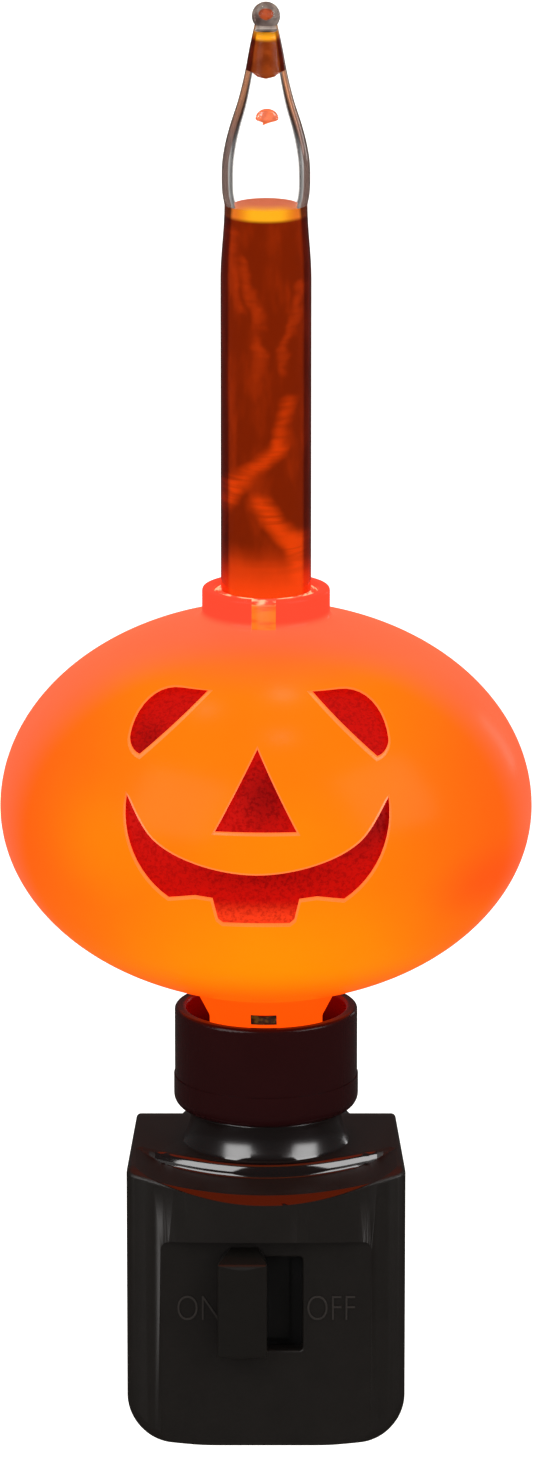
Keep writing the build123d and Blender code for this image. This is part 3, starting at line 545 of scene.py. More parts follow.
# ---- node materials -------------------------------------------------------------------------
class Board:
    """Lays nodes on a material or a node group."""

    def __init__(self, tree):
        self.tree = tree

    def add(self, kind, values=None, **choices):
        """A node with its choices set and its inputs linked or given values."""
        node = self.tree.nodes.new(kind)
        for key, value in choices.items():
            setattr(node, key, value)
        for key, value in (values or {}).items():
            if isinstance(value, bpy.types.NodeSocket):
                self.tree.links.new(value, node.inputs[key])
            else:
                node.inputs[key].default_value = value
        return node

    def calc(self, operation, *terms, clamp=False):
        """A sum, product or other number worked out from up to three terms."""
        return self.add("ShaderNodeMath", dict(enumerate(terms)), operation=operation, use_clamp=clamp).outputs[0]

    def plus(self, a, b):
        """The sum of two values."""
        return self.calc("ADD", a, b)

    def times(self, a, b):
        """The product of two values."""
        return self.calc("MULTIPLY", a, b)

    def most(self, first, *others):
        """The largest of several values."""
        for other in others:
            first = self.calc("MAXIMUM", first, other)
        return first

    def vector(self, operation, *terms):
        """A vector worked out from others."""
        return self.add("ShaderNodeVectorMath", dict(enumerate(terms)), operation=operation).outputs[0]

    def scaled(self, vector, *by):
        """A vector multiplied part by part."""
        return self.vector("MULTIPLY", vector, by)

    def measure(self, operation, *vectors):
        """A length, distance or product of vectors."""
        return self.add("ShaderNodeVectorMath", dict(enumerate(vectors)), operation=operation).outputs["Value"]

    def mix(self, share, a, b, blend="MIX"):
        """Two colours mixed by a share."""
        def four(c):
            return c if isinstance(c, bpy.types.NodeSocket) else tuple(c)[:3] + (1,)
        values = {0: share, 6: four(a), 7: four(b)}
        return self.add("ShaderNodeMix", values, data_type="RGBA", blend_type=blend).outputs[2]

    def multiply(self, tone, by):
        """A colour multiplied by another or by a value."""
        return self.mix(1.0, tone, by, "MULTIPLY")

    def paint(self, tone, *coats):
        """A colour under coats laid on in order, each a share and a colour."""
        for share, coat in coats:
            tone = self.mix(share, tone, coat)
        return tone

    def remap(self, value, low, high, to_low=0.0, to_high=1.0):
        """A value eased from one range to another."""
        inputs = {0: value, 1: low, 2: high, 3: to_low, 4: to_high}
        return self.add("ShaderNodeMapRange", inputs, interpolation_type="SMOOTHSTEP").outputs[0]

    def ramp(self, value, *stops):
        """A colour ramp with (position, colour) stops."""
        node = self.add("ShaderNodeValToRGB", {0: value})
        elements = node.color_ramp.elements
        while len(elements) < len(stops):
            elements.new(0.5)
        for element, (position, stop) in zip(elements, stops):
            element.position = position
            element.color = tuple(stop)[:3] + (1,)
        return node.outputs[0]

    def noise(self, where, scale, detail=2.0, **more):
        """The value of a noise."""
        return self.add("ShaderNodeTexNoise", {"Vector": where, "Scale": scale, "Detail": detail, **more}).outputs[0]

    def split(self, vector):
        """The three parts of a vector."""
        return self.add("ShaderNodeSeparateXYZ", {0: vector}).outputs

    def place(self, middle=(0, 0, 0)):
        """Object coordinates in millimetres from a middle."""
        coords = self.add("ShaderNodeTexCoord").outputs["Object"]
        scale, shift = [1 / MM] * 3, [-m for m in middle]
        return self.add("ShaderNodeMapping", {"Vector": coords, "Scale": scale, "Location": shift}).outputs[0]

    def bump(self, height, strength, depth_mm=0.02):
        """A normal from a height."""
        values = {"Height": height, "Strength": strength, "Distance": depth_mm * MM}
        return self.add("ShaderNodeBump", values).outputs[0]

    def use(self, name, **values):
        """One use of a shared group, built the first time."""
        tree = bpy.data.node_groups.get(name) or group(name, *GROUPS[name])
        return self.add("ShaderNodeGroup", values, node_tree=tree).outputs

    def grain(self, where, scale, unevenness, speckle):
        """Moulded grain: its Height and its Shade."""
        return self.use("Moulded grain", Vector=where, Scale=scale, Unevenness=unevenness, Speckle=speckle)

    def spot(self, where, middle, reach, strength=1.0):
        """A soft mask round a place in millimetres."""
        mask = self.use("Soft spot", Vector=where, Middle=middle, Reach=reach)["Mask"]
        return mask if strength == 1.0 else self.times(mask, strength)

    def wisp(self, where, start, end, width, waver=(2.5, 2.5, 2.5)):
        """A wavering streak between two places in millimetres."""
        return self.use("Wisp", Vector=where, Start=start, End=end, Width=width, Waver=waver)["Mask"]


def group(name, inputs, outputs, build):
    """A shared node group, built once."""
    tree = bpy.data.node_groups.new(name, "ShaderNodeTree")
    for label, kind, default in inputs:
        socket = tree.interface.new_socket(label, in_out="INPUT", socket_type=kind)
        if default is not None:
            socket.default_value = default
    for label, kind in outputs:
        tree.interface.new_socket(label, in_out="OUTPUT", socket_type=kind)
    board = Board(tree)
    results = build(board, board.add("NodeGroupInput").outputs)
    board.add("NodeGroupOutput", dict(zip([label for label, _ in outputs], results)))
    return tree


def build_grain(board, given):
    """Fine moulded grain: height, and a value that lightens and darkens a little."""
    fine = board.noise(given["Vector"], given["Scale"])
    broad = board.noise(given["Vector"], board.times(given["Scale"], 0.04), 3.0)
    swing = board.times(board.calc("SUBTRACT", broad, 0.5), given["Unevenness"])
    speck = board.times(board.calc("SUBTRACT", fine, 0.5), given["Speckle"])
    return fine, board.plus(1.0, board.plus(swing, speck))


def build_spot(board, given):
    """Mask that is 1 at a middle and fades out over a reach along each axis."""
    away = board.vector("SUBTRACT", given["Vector"], given["Middle"])
    distance = board.measure("LENGTH", board.vector("DIVIDE", away, given["Reach"]))
    return (board.remap(distance, 1.0, 0.0),)


def build_wisp(board, given):
    """Mask along a wavering line between two points."""
    noise = board.add("ShaderNodeTexNoise", {"Vector": given["Vector"], "Scale": 0.35, "Detail": 2.0}).outputs["Color"]
    shift = board.vector("MULTIPLY", board.vector("SUBTRACT", noise, (0.5, 0.5, 0.5)), given["Waver"])
    point = board.vector("ADD", given["Vector"], shift)
    along = board.vector("SUBTRACT", given["End"], given["Start"])
    away = board.vector("SUBTRACT", point, given["Start"])
    dots = [board.measure("DOT_PRODUCT", a, along) for a in (away, along)]
    share = board.calc("DIVIDE", *dots, clamp=True)
    nearest = board.add("ShaderNodeVectorMath", {0: along, "Scale": share}, operation="SCALE").outputs[0]
    off = board.measure("DISTANCE", away, nearest)
    return (board.remap(board.calc("DIVIDE", off, given["Width"]), 1.0, 0.0),)


def build_brushed(board, given):
    """Fine lines along one direction, for rolled and drawn metal."""
    lines = board.noise(board.vector("MULTIPLY", given["Vector"], given["Stretch"]), 4.0, 4.0)
    return lines, board.remap(board.noise(given["Vector"], 0.4, 3.0), 0.35, 0.7)


VECTOR, VALUE = "NodeSocketVector", "NodeSocketFloat"
GROUPS = {
    # name: (inputs with their defaults, outputs, what builds it)
    "Moulded grain": ([("Vector", VECTOR, None), ("Scale", VALUE, 8.0), ("Unevenness", VALUE, 0.3),
                       ("Speckle", VALUE, 0.2)], [("Height", VALUE), ("Shade", VALUE)], build_grain),
    "Soft spot": ([("Vector", VECTOR, None), ("Middle", VECTOR, None), ("Reach", VECTOR, (1, 1, 1))],
                  [("Mask", VALUE)], build_spot),
    "Wisp": ([("Vector", VECTOR, None), ("Start", VECTOR, None), ("End", VECTOR, (0, 0, 1)), ("Width", VALUE, 1.0),
              ("Waver", VECTOR, (1, 1, 1))], [("Mask", VALUE)], build_wisp),
    "Brushed metal": ([("Vector", VECTOR, None), ("Stretch", VECTOR, (1, 1, 1))],
                      [("Lines", VALUE), ("Smudge", VALUE)], build_brushed),
}


class MaterialBoard(Board):
    """Lays nodes on a new material and feeds its shader, which takes plain values at the start."""

    def __init__(self, name, **plain):
        self.material = bpy.data.materials.new(name)
        self.material.use_nodes = True
        super().__init__(self.material.node_tree)
        self.shader = self.tree.nodes["Principled BSDF"]
        for key, value in plain.items():
            self.shader.inputs[key.replace("_", " ")].default_value = value

    def feed(self, **sockets):
        """Links node outputs to the shader."""
        for key, socket in sockets.items():
            self.tree.links.new(socket, self.shader.inputs[key.replace("_", " ")])

    def glow(self, tone, dulled, **sockets):
        """The shader gives off a colour and reflects a darker one."""
        self.feed(Emission_Color=tone, Base_Color=self.mix(dulled, tone, BLACK), **sockets)

    def facing(self, blend=0.5):
        """How far the surface is seen along its edge."""
        return self.add("ShaderNodeLayerWeight", {"Blend": blend}).outputs["Facing"]


def moulded(name, tint, roughness, scale=6.0, unevenness=0.35, speckle=0.25, relief=0.25, **plain):
    """The board of a moulded plastic with a fine grain."""
    board = MaterialBoard(name, **plain)
    grain = board.grain(board.place(), scale, unevenness, speckle)
    board.feed(Base_Color=board.multiply(tint, grain["Shade"]),
               Roughness=board.times(roughness, board.plus(0.8, board.times(grain["Height"], 0.4))),
               Normal=board.bump(grain["Height"], relief))
    return board


def metal(name, tint, stretch, roughness=0.28, dulled=0.75):
    """Brushed or rolled metal with faint smudges."""
    board = MaterialBoard(name, Metallic=1.0)
    brushed = board.use("Brushed metal", Vector=board.place(), Stretch=stretch)
    dull = [dulled * c for c in tint]
    board.feed(Base_Color=board.mix(board.times(brushed["Smudge"], 0.7), tint, dull),
               Roughness=board.plus(roughness, board.times(brushed["Smudge"], 0.18)),
               Normal=board.bump(brushed["Lines"], 0.3, 0.01))
    return board.material


# ---- pumpkin globe --------------------------------------------------------------------------
def skin_material():
    """Translucent orange plastic, lit from inside: brightest low in the middle, coral round the collar."""
    look = settings("pumpkin")
    board = MaterialBoard("Pumpkin skin", Emission_Strength=look.glow, Specular_IOR_Level=0.025)
    where = board.place(GLOBE_MIDDLE)
    x, _, z = board.split(where)
    grain = board.grain(where, 5.0, 0.08, 0.03)
    heart = board.most(board.spot(where, (1, 0, -9.5), (21, 60, 14)),
                       board.spot(where, (1, 0, 2.5), (13, 60, 9), 0.5),
                       board.spot(where, (-17, 0, 2), (9, 60, 9), 0.45))
    outer = board.measure("LENGTH", board.scaled(where, 1 / GLOBE_RADIUS, 0, 1 / GLOBE_UPPER))
    collar = COLLAR_TOP - GLOBE_Z - 3.2
    tone = board.paint(
        look.middle,
        (board.remap(board.calc("ABSOLUTE", x), 9, 28), look.flank),
        (heart, look.heart),
        (board.remap(z, 16.0, 22.6), look.crown),
        (board.remap(z, -11.5, -19.5), look.underside),
        # painted edge sheen: coral near the outline, fading out at the very bottom
        (board.times(board.remap(outer, 0.88, 1.0, 0, 0.8), board.remap(z, -19, -15)), look.painted_edge_sheen),
        # painted shade patch, low on the right
        (board.spot(where, (23.5, -14, -4), (9, 26, 5.5), 0.55), look.painted_shade_patch),
        (board.remap(z, collar, collar + 1), look.collar))
    tone = board.multiply(tone, grain["Shade"])
    board.feed(Emission_Color=board.multiply(tone, (1.0, 1 / look.glow, 1 / look.glow)),
               Base_Color=board.multiply(look.skin, grain["Shade"]),
               Roughness=board.plus(0.2, board.times(grain["Height"], 0.06)),
               Normal=board.bump(grain["Height"], 0.05))
    return board.material


def pocket_material():
    """Grainy dark red floor of the eyes, nose and grin."""
    look = settings("pumpkin")
    board = MaterialBoard("Pumpkin pockets", Emission_Strength=1.0, Specular_IOR_Level=0.02)
    where = board.place(GLOBE_MIDDLE)
    sand = board.noise(where, 2.2, 4.0, Roughness=0.8)
    grit = board.remap(sand, 0.44, 0.62)
    shaded = board.most(board.wisp(where, (9, -27, 4.0), (14, -24, 5.5), 4.5),
                        board.spot(where, (0, -28, 8), (4.5, 14, 5)),
                        board.spot(where, (-12.5, -25, 12), (3.5, 14, 4)),
                        board.spot(where, (8, -27, 17), (4.5, 14, 2.5)),
                        board.spot(where, (0, -28, 0), (12, 14, 3), 0.6))
    tone = board.paint(
        look.pocket,
        (board.times(shaded, 0.75), look.pocket_dark),
        (board.remap(board.split(where)[2], -2.8, -5.4), look.chin),
        (board.times(grit, board.plus(0.42, board.times(shaded, 0.5))), look.pocket_dark))
    board.glow(tone, 0.85, Roughness=board.plus(0.45, board.times(grit, 0.3)), Normal=board.bump(sand, 0.6, 0.05))
    return board.material


def rim_material():
    """Thin step round each pocket, painted pale as a highlight of the light along the pocket's edge."""
    board = MaterialBoard("Pumpkin pocket rims", Emission_Strength=1.0, Specular_IOR_Level=0.3)
    grain = board.grain(board.place(GLOBE_MIDDLE), 5.0, 0.3, 0.2)
    board.glow(board.multiply(settings("pumpkin").rim, grain["Shade"]), 0.5,
               Roughness=board.plus(0.3, board.times(grain["Height"], 0.1)))
    return board.material


def slot_material():
    """Shaded inside of the slot in the throat."""
    board = moulded("Slot shade", shade("#3A1A08"), 0.6, unevenness=0.4, speckle=0.4, Emission_Strength=0.6)
    streak = board.remap(board.noise(board.place(), 1.6), 0.45, 0.65)
    board.feed(Emission_Color=board.mix(streak, shade("#2A1206"), shade("#6A4210")))
    return board.material


def layer(name, inset, slot, materials):
    """Front part of a thick skin over the globe, from an inset out past its surface."""
    bottom, top, beyond = -58, 62, 1.5
    inner = arc((GLOBE_RADIUS - inset, GLOBE_LOWER - inset), bottom, 0, 40)
    inner += arc((GLOBE_RADIUS - inset, GLOBE_UPPER - inset), 0, top, 40)[1:]
    outer = arc((GLOBE_RADIUS + beyond, GLOBE_UPPER + beyond), top, bottom, 40)
    piece = half_turned(name, inner + outer, -1, 72)
    wear(piece, *materials)
    all_faces(piece, slot)
    return piece


class NIGHTLIGHT_OT_pumpkin(bpy.types.Operator):
    """Front and back mouldings of the globe, with the sunk face, the notch and the throat slot"""
    bl_idname = "night_light.pumpkin"
    bl_label = "Pumpkin Globe"
    SKIN, POCKET, RIM, SLOT = range(4)

    def execute(self, context):
        look = settings("pumpkin")
        outline = globe_outline()
        turn = Matrix.Translation((0, AXIS_Y * MM, 0)) @ Matrix.Rotation(look.turn, 4, "Z")
        turn @= Matrix.Translation((0, -AXIS_Y * MM, 0))
        materials = skin_material(), pocket_material(), rim_material(), slot_material()
        for name, side in (("pumpkin_front", -1), ("pumpkin_back", 1)):
            piece = half_turned(name, outline, side)
            wear(piece, *materials)
            if side < 0:
                self.sink_face(piece, look)
                self.cut_openings(piece)
            close_up(piece)
            piece.matrix_world = turn @ Matrix.Translation((0, side * look.parting, 0))
            finish_piece(piece, "lamp", "globe_plastic", name.replace("pumpkin", "globe"))
        return {"FINISHED"}

    def sink_face(self, piece, look):
        """The pockets, and a shallow step round each."""
        near, far = GLOBE_LOW.y - 4, AXIS_Y - 6
        for name, depth, slot, margin in (("step", look.rim_depth, self.RIM, look.rim_width / MM),
                                          ("pocket", look.pocket_depth, self.POCKET, 0)):
            tool = layer(name, depth / MM, slot, piece.data.materials)
            sides = prisms(name + "_sides", [spread(outline, margin) for outline in face_outlines()], near, far)
            wear(sides, *piece.data.materials)
            # the pockets' side walls take the rim's painted highlight too
            all_faces(sides, self.RIM)
            cut(tool, sides, "INTERSECT")
            cut(piece, tool)

    def cut_openings(self, piece):
        """The notch in the collar and the slot at the rim of the holder."""
        front = AXIS_Y - 3 * COLLAR_RADIUS
        # name, finish of its walls, half width, foot, top and depth
        openings = (("notch", self.SKIN, 1.3, COLLAR_TOP - 3.4, COLLAR_TOP + 2, AXIS_Y - 4),
                    ("slot", self.SLOT, 1.4, RIM_Z - 0.4, RIM_Z + 0.85, AXIS_Y - 5.5))
        for name, slot, half, low, high, back in openings:
            tool = block(name, (-half, front, low), (half, back, high))
            wear(tool, *piece.data.materials)
            all_faces(tool, slot)
            cut(piece, tool)


# ---- bubble tube ----------------------------------------------------------------------------
def glass_material(name, tint):
    """Clear glass, with its colour drawn by tint from its board, how far it is seen along its wall, and the place."""
    board = MaterialBoard(name, Transmission_Weight=1.0, Roughness=0.0, IOR=1.45, Specular_Tint=(0.06, 0.06, 0.06, 1))
    where = board.place()
    drawn = board.noise(board.scaled(where, 0.5, 0.5, 0.04), 1.0)
    board.feed(Base_Color=tint(board, board.facing(), where),
               Roughness=board.times(board.remap(drawn, 0.5, 0.8), 0.03))
    return board.material


def wall_tint(board, facing, where):
    """The tube's wall: painted shade where it is seen along it, amber round the neck, a painted orange glow just above
    the collar, and grey in the sealed tip.
    """
    look = settings("tube")
    z = board.split(where)[2]
    edge = board.paint(
        look.glass_edge,
        (board.remap(z, TIP_Z - 15, TIP_Z - 9), look.glass_neck),
        (board.remap(z, LIQUID_Z - 0.5, LIQUID_Z - 2), look.glass_low),
        # painted orange glow along the wall's edge just above the collar
        (board.remap(z, COLLAR_TOP + 4, COLLAR_TOP + 0.5), look.glass_foot))
    slant = board.plus(facing, board.remap(z, TIP_Z - 17, TIP_Z - 10, 0, 0.16))
    smoke = board.mix(board.remap(board.noise(where, 0.8, 3.0), 0.35, 0.65), look.glass_tip, (0.3, 0.25, 0.22))
    return board.paint(WHITE, (board.remap(slant, 0.38, 0.5), edge), (board.remap(z, TIP_Z - 3.7, TIP_Z - 2.9), smoke))


def bore_tint(board, facing, where):
    """The tube's bore: clear, with a thin dark line of painted shade where it is seen along its wall, from either side.
    """
    dark = settings("tube").glass_bore
    from_glass = board.ramp(facing, (0.22, WHITE), (0.234, dark))
    from_air = board.ramp(facing, (0.48, WHITE), (0.58, dark))
    return board.mix(board.add("ShaderNodeNewGeometry").outputs["Backfacing"], from_air, from_glass)


def bulb_tint(board, facing, where):
    """The bulb: clear, and straw-coloured where it is seen along its wall."""
    return board.ramp(facing, (0.7, WHITE), (0.9, shade("#B8A890")))


# (x, z) of both ends in millimetres, width and strength
WISPS = [((-2.2, 113), (-0.2, 103.5), 0.9, 0.75), ((3.2, 110), (1.5, 101), 0.8, 0.65),
         ((-3.6, 116), (-2.6, 108), 0.9, 0.6), ((-0.3, 103.5), (-0.8, 101), 1.1, 0.4)]
SWIRLS = [((2.2, 98), (1.4, 93.5), 1.3, 0.55), ((1.2, 93), (-3.2, 88.6), 1.5, 0.75),
          ((-3.3, 88.2), (-4.2, 86.6), 1.3, 0.9), ((-0.6, 87), (2.6, 82.5), 1.6, 0.9),
          ((2.8, 83), (3.4, 78), 1.5, 1.0), ((-4.2, 80), (4.2, 79.5), 1.4, 0.25)]


def liquid_material():
    """Dark amber liquid with red wisps above and a brighter swirl below, all a painted glow of the lamp's light,
    strongest near the collar.
    """
    look = settings("tube")
    board = MaterialBoard("Bubble liquid", Emission_Strength=1.0, Specular_IOR_Level=0.0)
    where = board.place((0, AXIS_Y, 0))
    x, y, z = board.split(where)
    haze = board.noise(board.scaled(where, 1, 1, 0.35), 0.5, 4.0)
    banded = board.remap(board.noise(board.scaled(where, 0.2, 0.2, 2.2), 1.0), 0.3, 0.6, 0.55, 1.0)
    tone = board.mix(board.remap(haze, 0.42, 0.75, 0, 0.4), look.liquid, look.liquid_red)
    flat = board.scaled(where, 1, 0, 1)
    for streaks, tint, waver in ((WISPS, look.liquid_red, (2.5, 2.5, 2.5)), (SWIRLS, look.liquid_low, (1.6, 0, 1.6))):
        for (start_x, start_z), (end_x, end_z), width, strength in streaks:
            streak = board.wisp(flat, (start_x, 0, start_z), (end_x, 0, end_z), width, waver)
            tone = board.mix(board.times(board.times(streak, banded), strength), tone, tint)
    ends = board.remap(board.calc("ABSOLUTE", x), 1.2, 3.1, 0, 0.85)
    surface = board.mix(board.remap(y, 2.0, -3.0), look.surface_back, board.mix(ends, look.surface, look.surface_side))
    # painted glow, stronger towards the collar
    tone = board.paint(tone, (board.remap(z, 83.0, 76.5, 0, 0.95), look.liquid_foot),
                       (board.remap(z, LIQUID_Z - 1.4, LIQUID_Z - 0.9), surface))
    board.glow(tone, 0.85, Roughness=board.plus(0.05, board.times(haze, 0.05)))
    return board.material


def drop_material():
    """Thin liquid left on the glass, shown as a painted glow."""
    look = settings("tube")
    board = MaterialBoard("Clinging liquid", Emission_Strength=0.9)
    haze = board.remap(board.noise(board.place(), 1.4, 3.0), 0.35, 0.7)
    tone = board.mix(haze, look.drop_dark, look.drop_light)
    board.feed(Emission_Color=tone, Base_Color=board.mix(0.6, tone, look.liquid),
               Roughness=board.plus(0.1, board.times(board.facing(0.4), 0.05)))
    return board.material


def neck_material():
    """Brown liquid caught in the drawn neck, yellow where it meets the tip, all shown as a painted glow."""
    look = settings("tube")
    board = MaterialBoard("Neck liquid", Emission_Strength=1.0, Specular_IOR_Level=0.0)
    where = board.place()
    haze = board.noise(where, 0.9, 3.0)
    tone = board.paint(look.neck_dark, (board.remap(haze, 0.35, 0.7), look.neck_light),
                       (board.remap(board.split(where)[2], TIP_Z - 4.2, TIP_Z - 3.7), look.neck_top))
    board.glow(tone, 0.8, Roughness=board.plus(0.08, board.times(haze, 0.05)))
    return board.material


class NIGHTLIGHT_OT_tube(bpy.types.Operator):
    """Glass bubble tube with its liquid, the liquid caught in its neck, a hanging drop and the sealed tip"""
    bl_idname = "night_light.tube"
    bl_label = "Bubble Tube"

    def execute(self, context):
        look = settings("tube")
        wall, nip, bite = look.wall / MM, look.nip / MM, look.bite / MM
        bore_nip = nip - 0.55
        tip_middle = TIP_Z - look.tip / MM
        self.blow_glass(look.tip / MM, tip_middle, wall, nip, bore_nip)
        clinging = drop_material()

        rim = look.waist / MM - wall + bite
        surface = [(rim * (1 - t), LIQUID_Z - 0.35 * (1 - (1 - t) ** 2)) for t in (0, 0.1, 0.25, 0.45, 0.7, 1)]
        self.pour("bubble_fluid", barrel(wall - bite)[:-1] + surface, 96, liquid_material(), "bubble_liquid")

        neck = [(r + bite, z) for r, z in shoulder(wall, bore_nip) if z > TIP_Z - 7.6][:-1]
        low_radius, low_z = neck[0]
        neck = [(0, low_z - 0.9), (low_radius * 0.6, low_z - 0.6)] + neck
        neck += [(bore_nip + bite, TIP_Z - 3.5), (bore_nip + bite, TIP_Z - 3.15), (0, TIP_Z - 3.05)]
        self.pour("neck_fluid", neck, 64, neck_material())

        outline = ((0, -0.35), (0.4, -0.2), (0.62, 0.1), (0.45, 0.45), (0, 0.55))
        bead = turned("tip_bead", [(r, tip_middle + z) for r, z in outline], closed=False, steps=48)
        modify(bead, "SUBSURF", levels=2, render_levels=2)
        drop = self.hang_drop(look.drop, wall)
        for piece in (bead, drop):
            wear(piece, clinging)
            finish_piece(piece, "lamp", "liquid")
        return {"FINISHED"}

    def blow_glass(self, tip, tip_middle, wall, nip, bore_nip):
        """The tube's outside and its bore, open at the axis of both ends."""
        start = -math.degrees(math.acos(0.8))
        outside = barrel(0) + shoulder(0, nip) + arc((tip, tip), start, 90, 18, tip_middle)
        outside[-1] = (0, TIP_Z)
        inside = barrel(wall) + shoulder(wall, bore_nip) + [(bore_nip, TIP_Z - 3.1), (0, TIP_Z - 3.0)]
        glass, bore = (turned(name, outline, closed=False)
                       for name, outline in (("bubble_glass", outside), ("bore", inside)))
        materials = glass_material("Tube glass", wall_tint), glass_material("Tube bore", bore_tint)
        wear(glass, *materials)
        wear(bore, *materials)
        all_faces(bore, 1)
        edit(bore)
        bpy.ops.mesh.flip_normals()
        glass = joined([glass, bore])
        smooth(glass)
        finish_piece(glass, "lamp", "tube_glass", "bubble_tube")

    def pour(self, name, outline, steps, material, *nodes):
        """A body of liquid turned from its outline."""
        piece = turned(name, outline, closed=False, steps=steps)
        wear(piece, material)
        finish_piece(piece, "lamp", "liquid", *nodes)

    def hang_drop(self, radius, wall):
        """A drop on the inside of the glass: a domed top, a flatter foot and a short tail."""
        height = TIP_Z - 12.1
        at_wall = [r for r, z in shoulder(wall, 0.9) if z < height][-1]
        middle = Vector((0.1, AXIS_Y - at_wall + 0.55, height)) * MM
        deselect()
        bpy.ops.mesh.primitive_uv_sphere_add(segments=48, ring_count=24, radius=radius, location=middle)
        drop = bpy.context.active_object
        drop.name = "hanging_drop"
        settle(drop)
        edit(drop)
        bpy.ops.transform.resize(value=(1.0, 0.4, 0.95), center_override=middle)
        self.pick(drop, [v.co.z < middle.z for v in drop.data.vertices])
        bpy.ops.transform.resize(value=(1.0, 1.0, 0.35), center_override=middle)
        take(drop)
        lowest = min(v.co.z for v in drop.data.vertices)
        self.pick(drop, [v.co.z == lowest for v in drop.data.vertices])
        bpy.ops.transform.translate(value=(-0.5 * MM, 0, -0.35 * MM), use_proportional_edit=True,
                                    proportional_edit_falloff="SHARP", proportional_size=0.6 * MM)
        return close_up(drop)

    def pick(self, piece, wanted):
        """Only the wanted vertices are selected, in edit mode."""
        edit(piece)
        bpy.ops.mesh.select_all(action="DESELECT")
        take(piece)
        for vertex, chosen in zip(piece.data.vertices, wanted):
            vertex.select = chosen
        bpy.ops.object.mode_set(mode="EDIT")


# ---- threads --------------------------------------------------------------------------------
class NIGHTLIGHT_OT_threads(bpy.types.Operator):
    """Rolled threads of the lamp's shell and of the holder's shell, in step with each other"""
    bl_idname = "night_light.threads"
    bl_label = "Candelabra Threads"

    def execute(self, context):
        look, finishes = settings("threads"), settings("finishes")
        grooves = (0.05, 0.05, 3.0)
        crest = LAMP_SHELL_HIGH.x
        lamp = self.roll("lamp_thread", crest, LAMP_SHELL_LOW.z, LAMP_SHELL_HIGH.z, -1)
        wear(lamp, metal("Nickel shell", finishes.nickel, grooves))
        finish_piece(lamp, "lamp", "plated_brass", "lamp_screw_shell")
        holder = self.roll("socket_thread", crest + look.clearance / MM, SOCKET_LOW.z, SOCKET_HIGH.z, 1)
        wear(holder, metal("Brass shell", finishes.brass, grooves, 0.32))
        finish_piece(holder, "housing", "brass", "socket_screw_shell")
        return {"FINISHED"}

    def roll(self, name, crest, low, high, side):
        """A wave drawn over one pitch, screwed up the shell, trimmed level and given its thickness."""
        look = settings("threads")
        pitch, depth, points = look.pitch / MM, look.depth / MM, 24
        first = math.floor(low / pitch) * pitch - pitch
        wave = []
        for i in range(points + 1):
            t = i / points
            sunk = (0.5 - 0.5 * math.cos(2 * math.pi * t)) ** 0.8
            wave.append((crest - depth * sunk, AXIS_Y, first + pitch * t))
        piece = draw(name, wave)
        turns = math.ceil((high - first) / pitch) + 1
        take(piece)
        bpy.context.scene.cursor.location = (0, AXIS_Y * MM, 0)
        bpy.ops.object.origin_set(type="ORIGIN_CURSOR")
        modify(piece, "SCREW", axis="Z", angle=2 * math.pi, screw_offset=look.pitch, iterations=turns, steps=72,
               render_steps=72, use_merge_vertices=True, merge_threshold=2e-6, use_smooth_shade=True)
        settle(piece)
        for level, up in ((low, -1), (high, 1)):
            edit(piece)
            bpy.ops.mesh.bisect(plane_co=(0, 0, level * MM), plane_no=(0, 0, up), clear_outer=True)
        outwards(piece)
        self.face_away(piece)
        modify(piece, "SOLIDIFY", thickness=look.sheet, offset=side, use_even_offset=False)
        smooth(piece, 50)
        return piece

    def face_away(self, piece):
        """The open sheet faces away from the axis before it gets its thickness."""
        take(piece)
        face = piece.data.polygons[0]
        away = face.center - Vector((0, AXIS_Y * MM, face.center.z))
        if face.normal.dot(away) < 0:
            edit(piece)
            bpy.ops.mesh.flip_normals()
            take(piece)


# ---- switch lettering -----------------------------------------------------------------------
class NIGHTLIGHT_OT_lettering(bpy.types.Operator):
    """Raised ON and OFF beside the switch"""
    bl_idname = "night_light.lettering"
    bl_label = "Switch Lettering"

    def execute(self, context):
        look = settings("lettering")
        # The letters are drawn lighter than the housing: a painted highlight on raised letters of the same black
        # plastic.
        plastic = moulded("Lettering plastic", shade("#332D29"), 0.45, Specular_IOR_Level=0.3).material
        capital = 0.7   # height of a capital against the size of the letters
        for name, word, middle in (("word_on", "ON", look.on_middle), ("word_off", "OFF", look.off_middle)):
            deselect()
            bpy.ops.object.text_add(location=(middle, PANEL_Y * MM, look.level), rotation=(math.pi / 2, 0, 0))
            letters = bpy.context.active_object
            letters.name = name
            text = letters.data
            text.body, text.align_x, text.align_y = word, "CENTER", "CENTER"
            text.size = look.height / capital
            text.extrude = look.proud
            text.offset = -look.thinning
            bpy.ops.object.convert(target="MESH")
            letters.scale = (look.squeeze, 1, 1)
            settle(letters)
            close_up(letters)
            wear(letters, plastic)
            finish_piece(letters, "housing", "housing_plastic")
        return {"FINISHED"}


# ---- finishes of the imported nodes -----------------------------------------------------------
def dress(material, *nodes):
    """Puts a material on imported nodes."""
    for node in nodes:
        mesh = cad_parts[node].data
        mesh.materials.clear()
        mesh.materials.append(material)


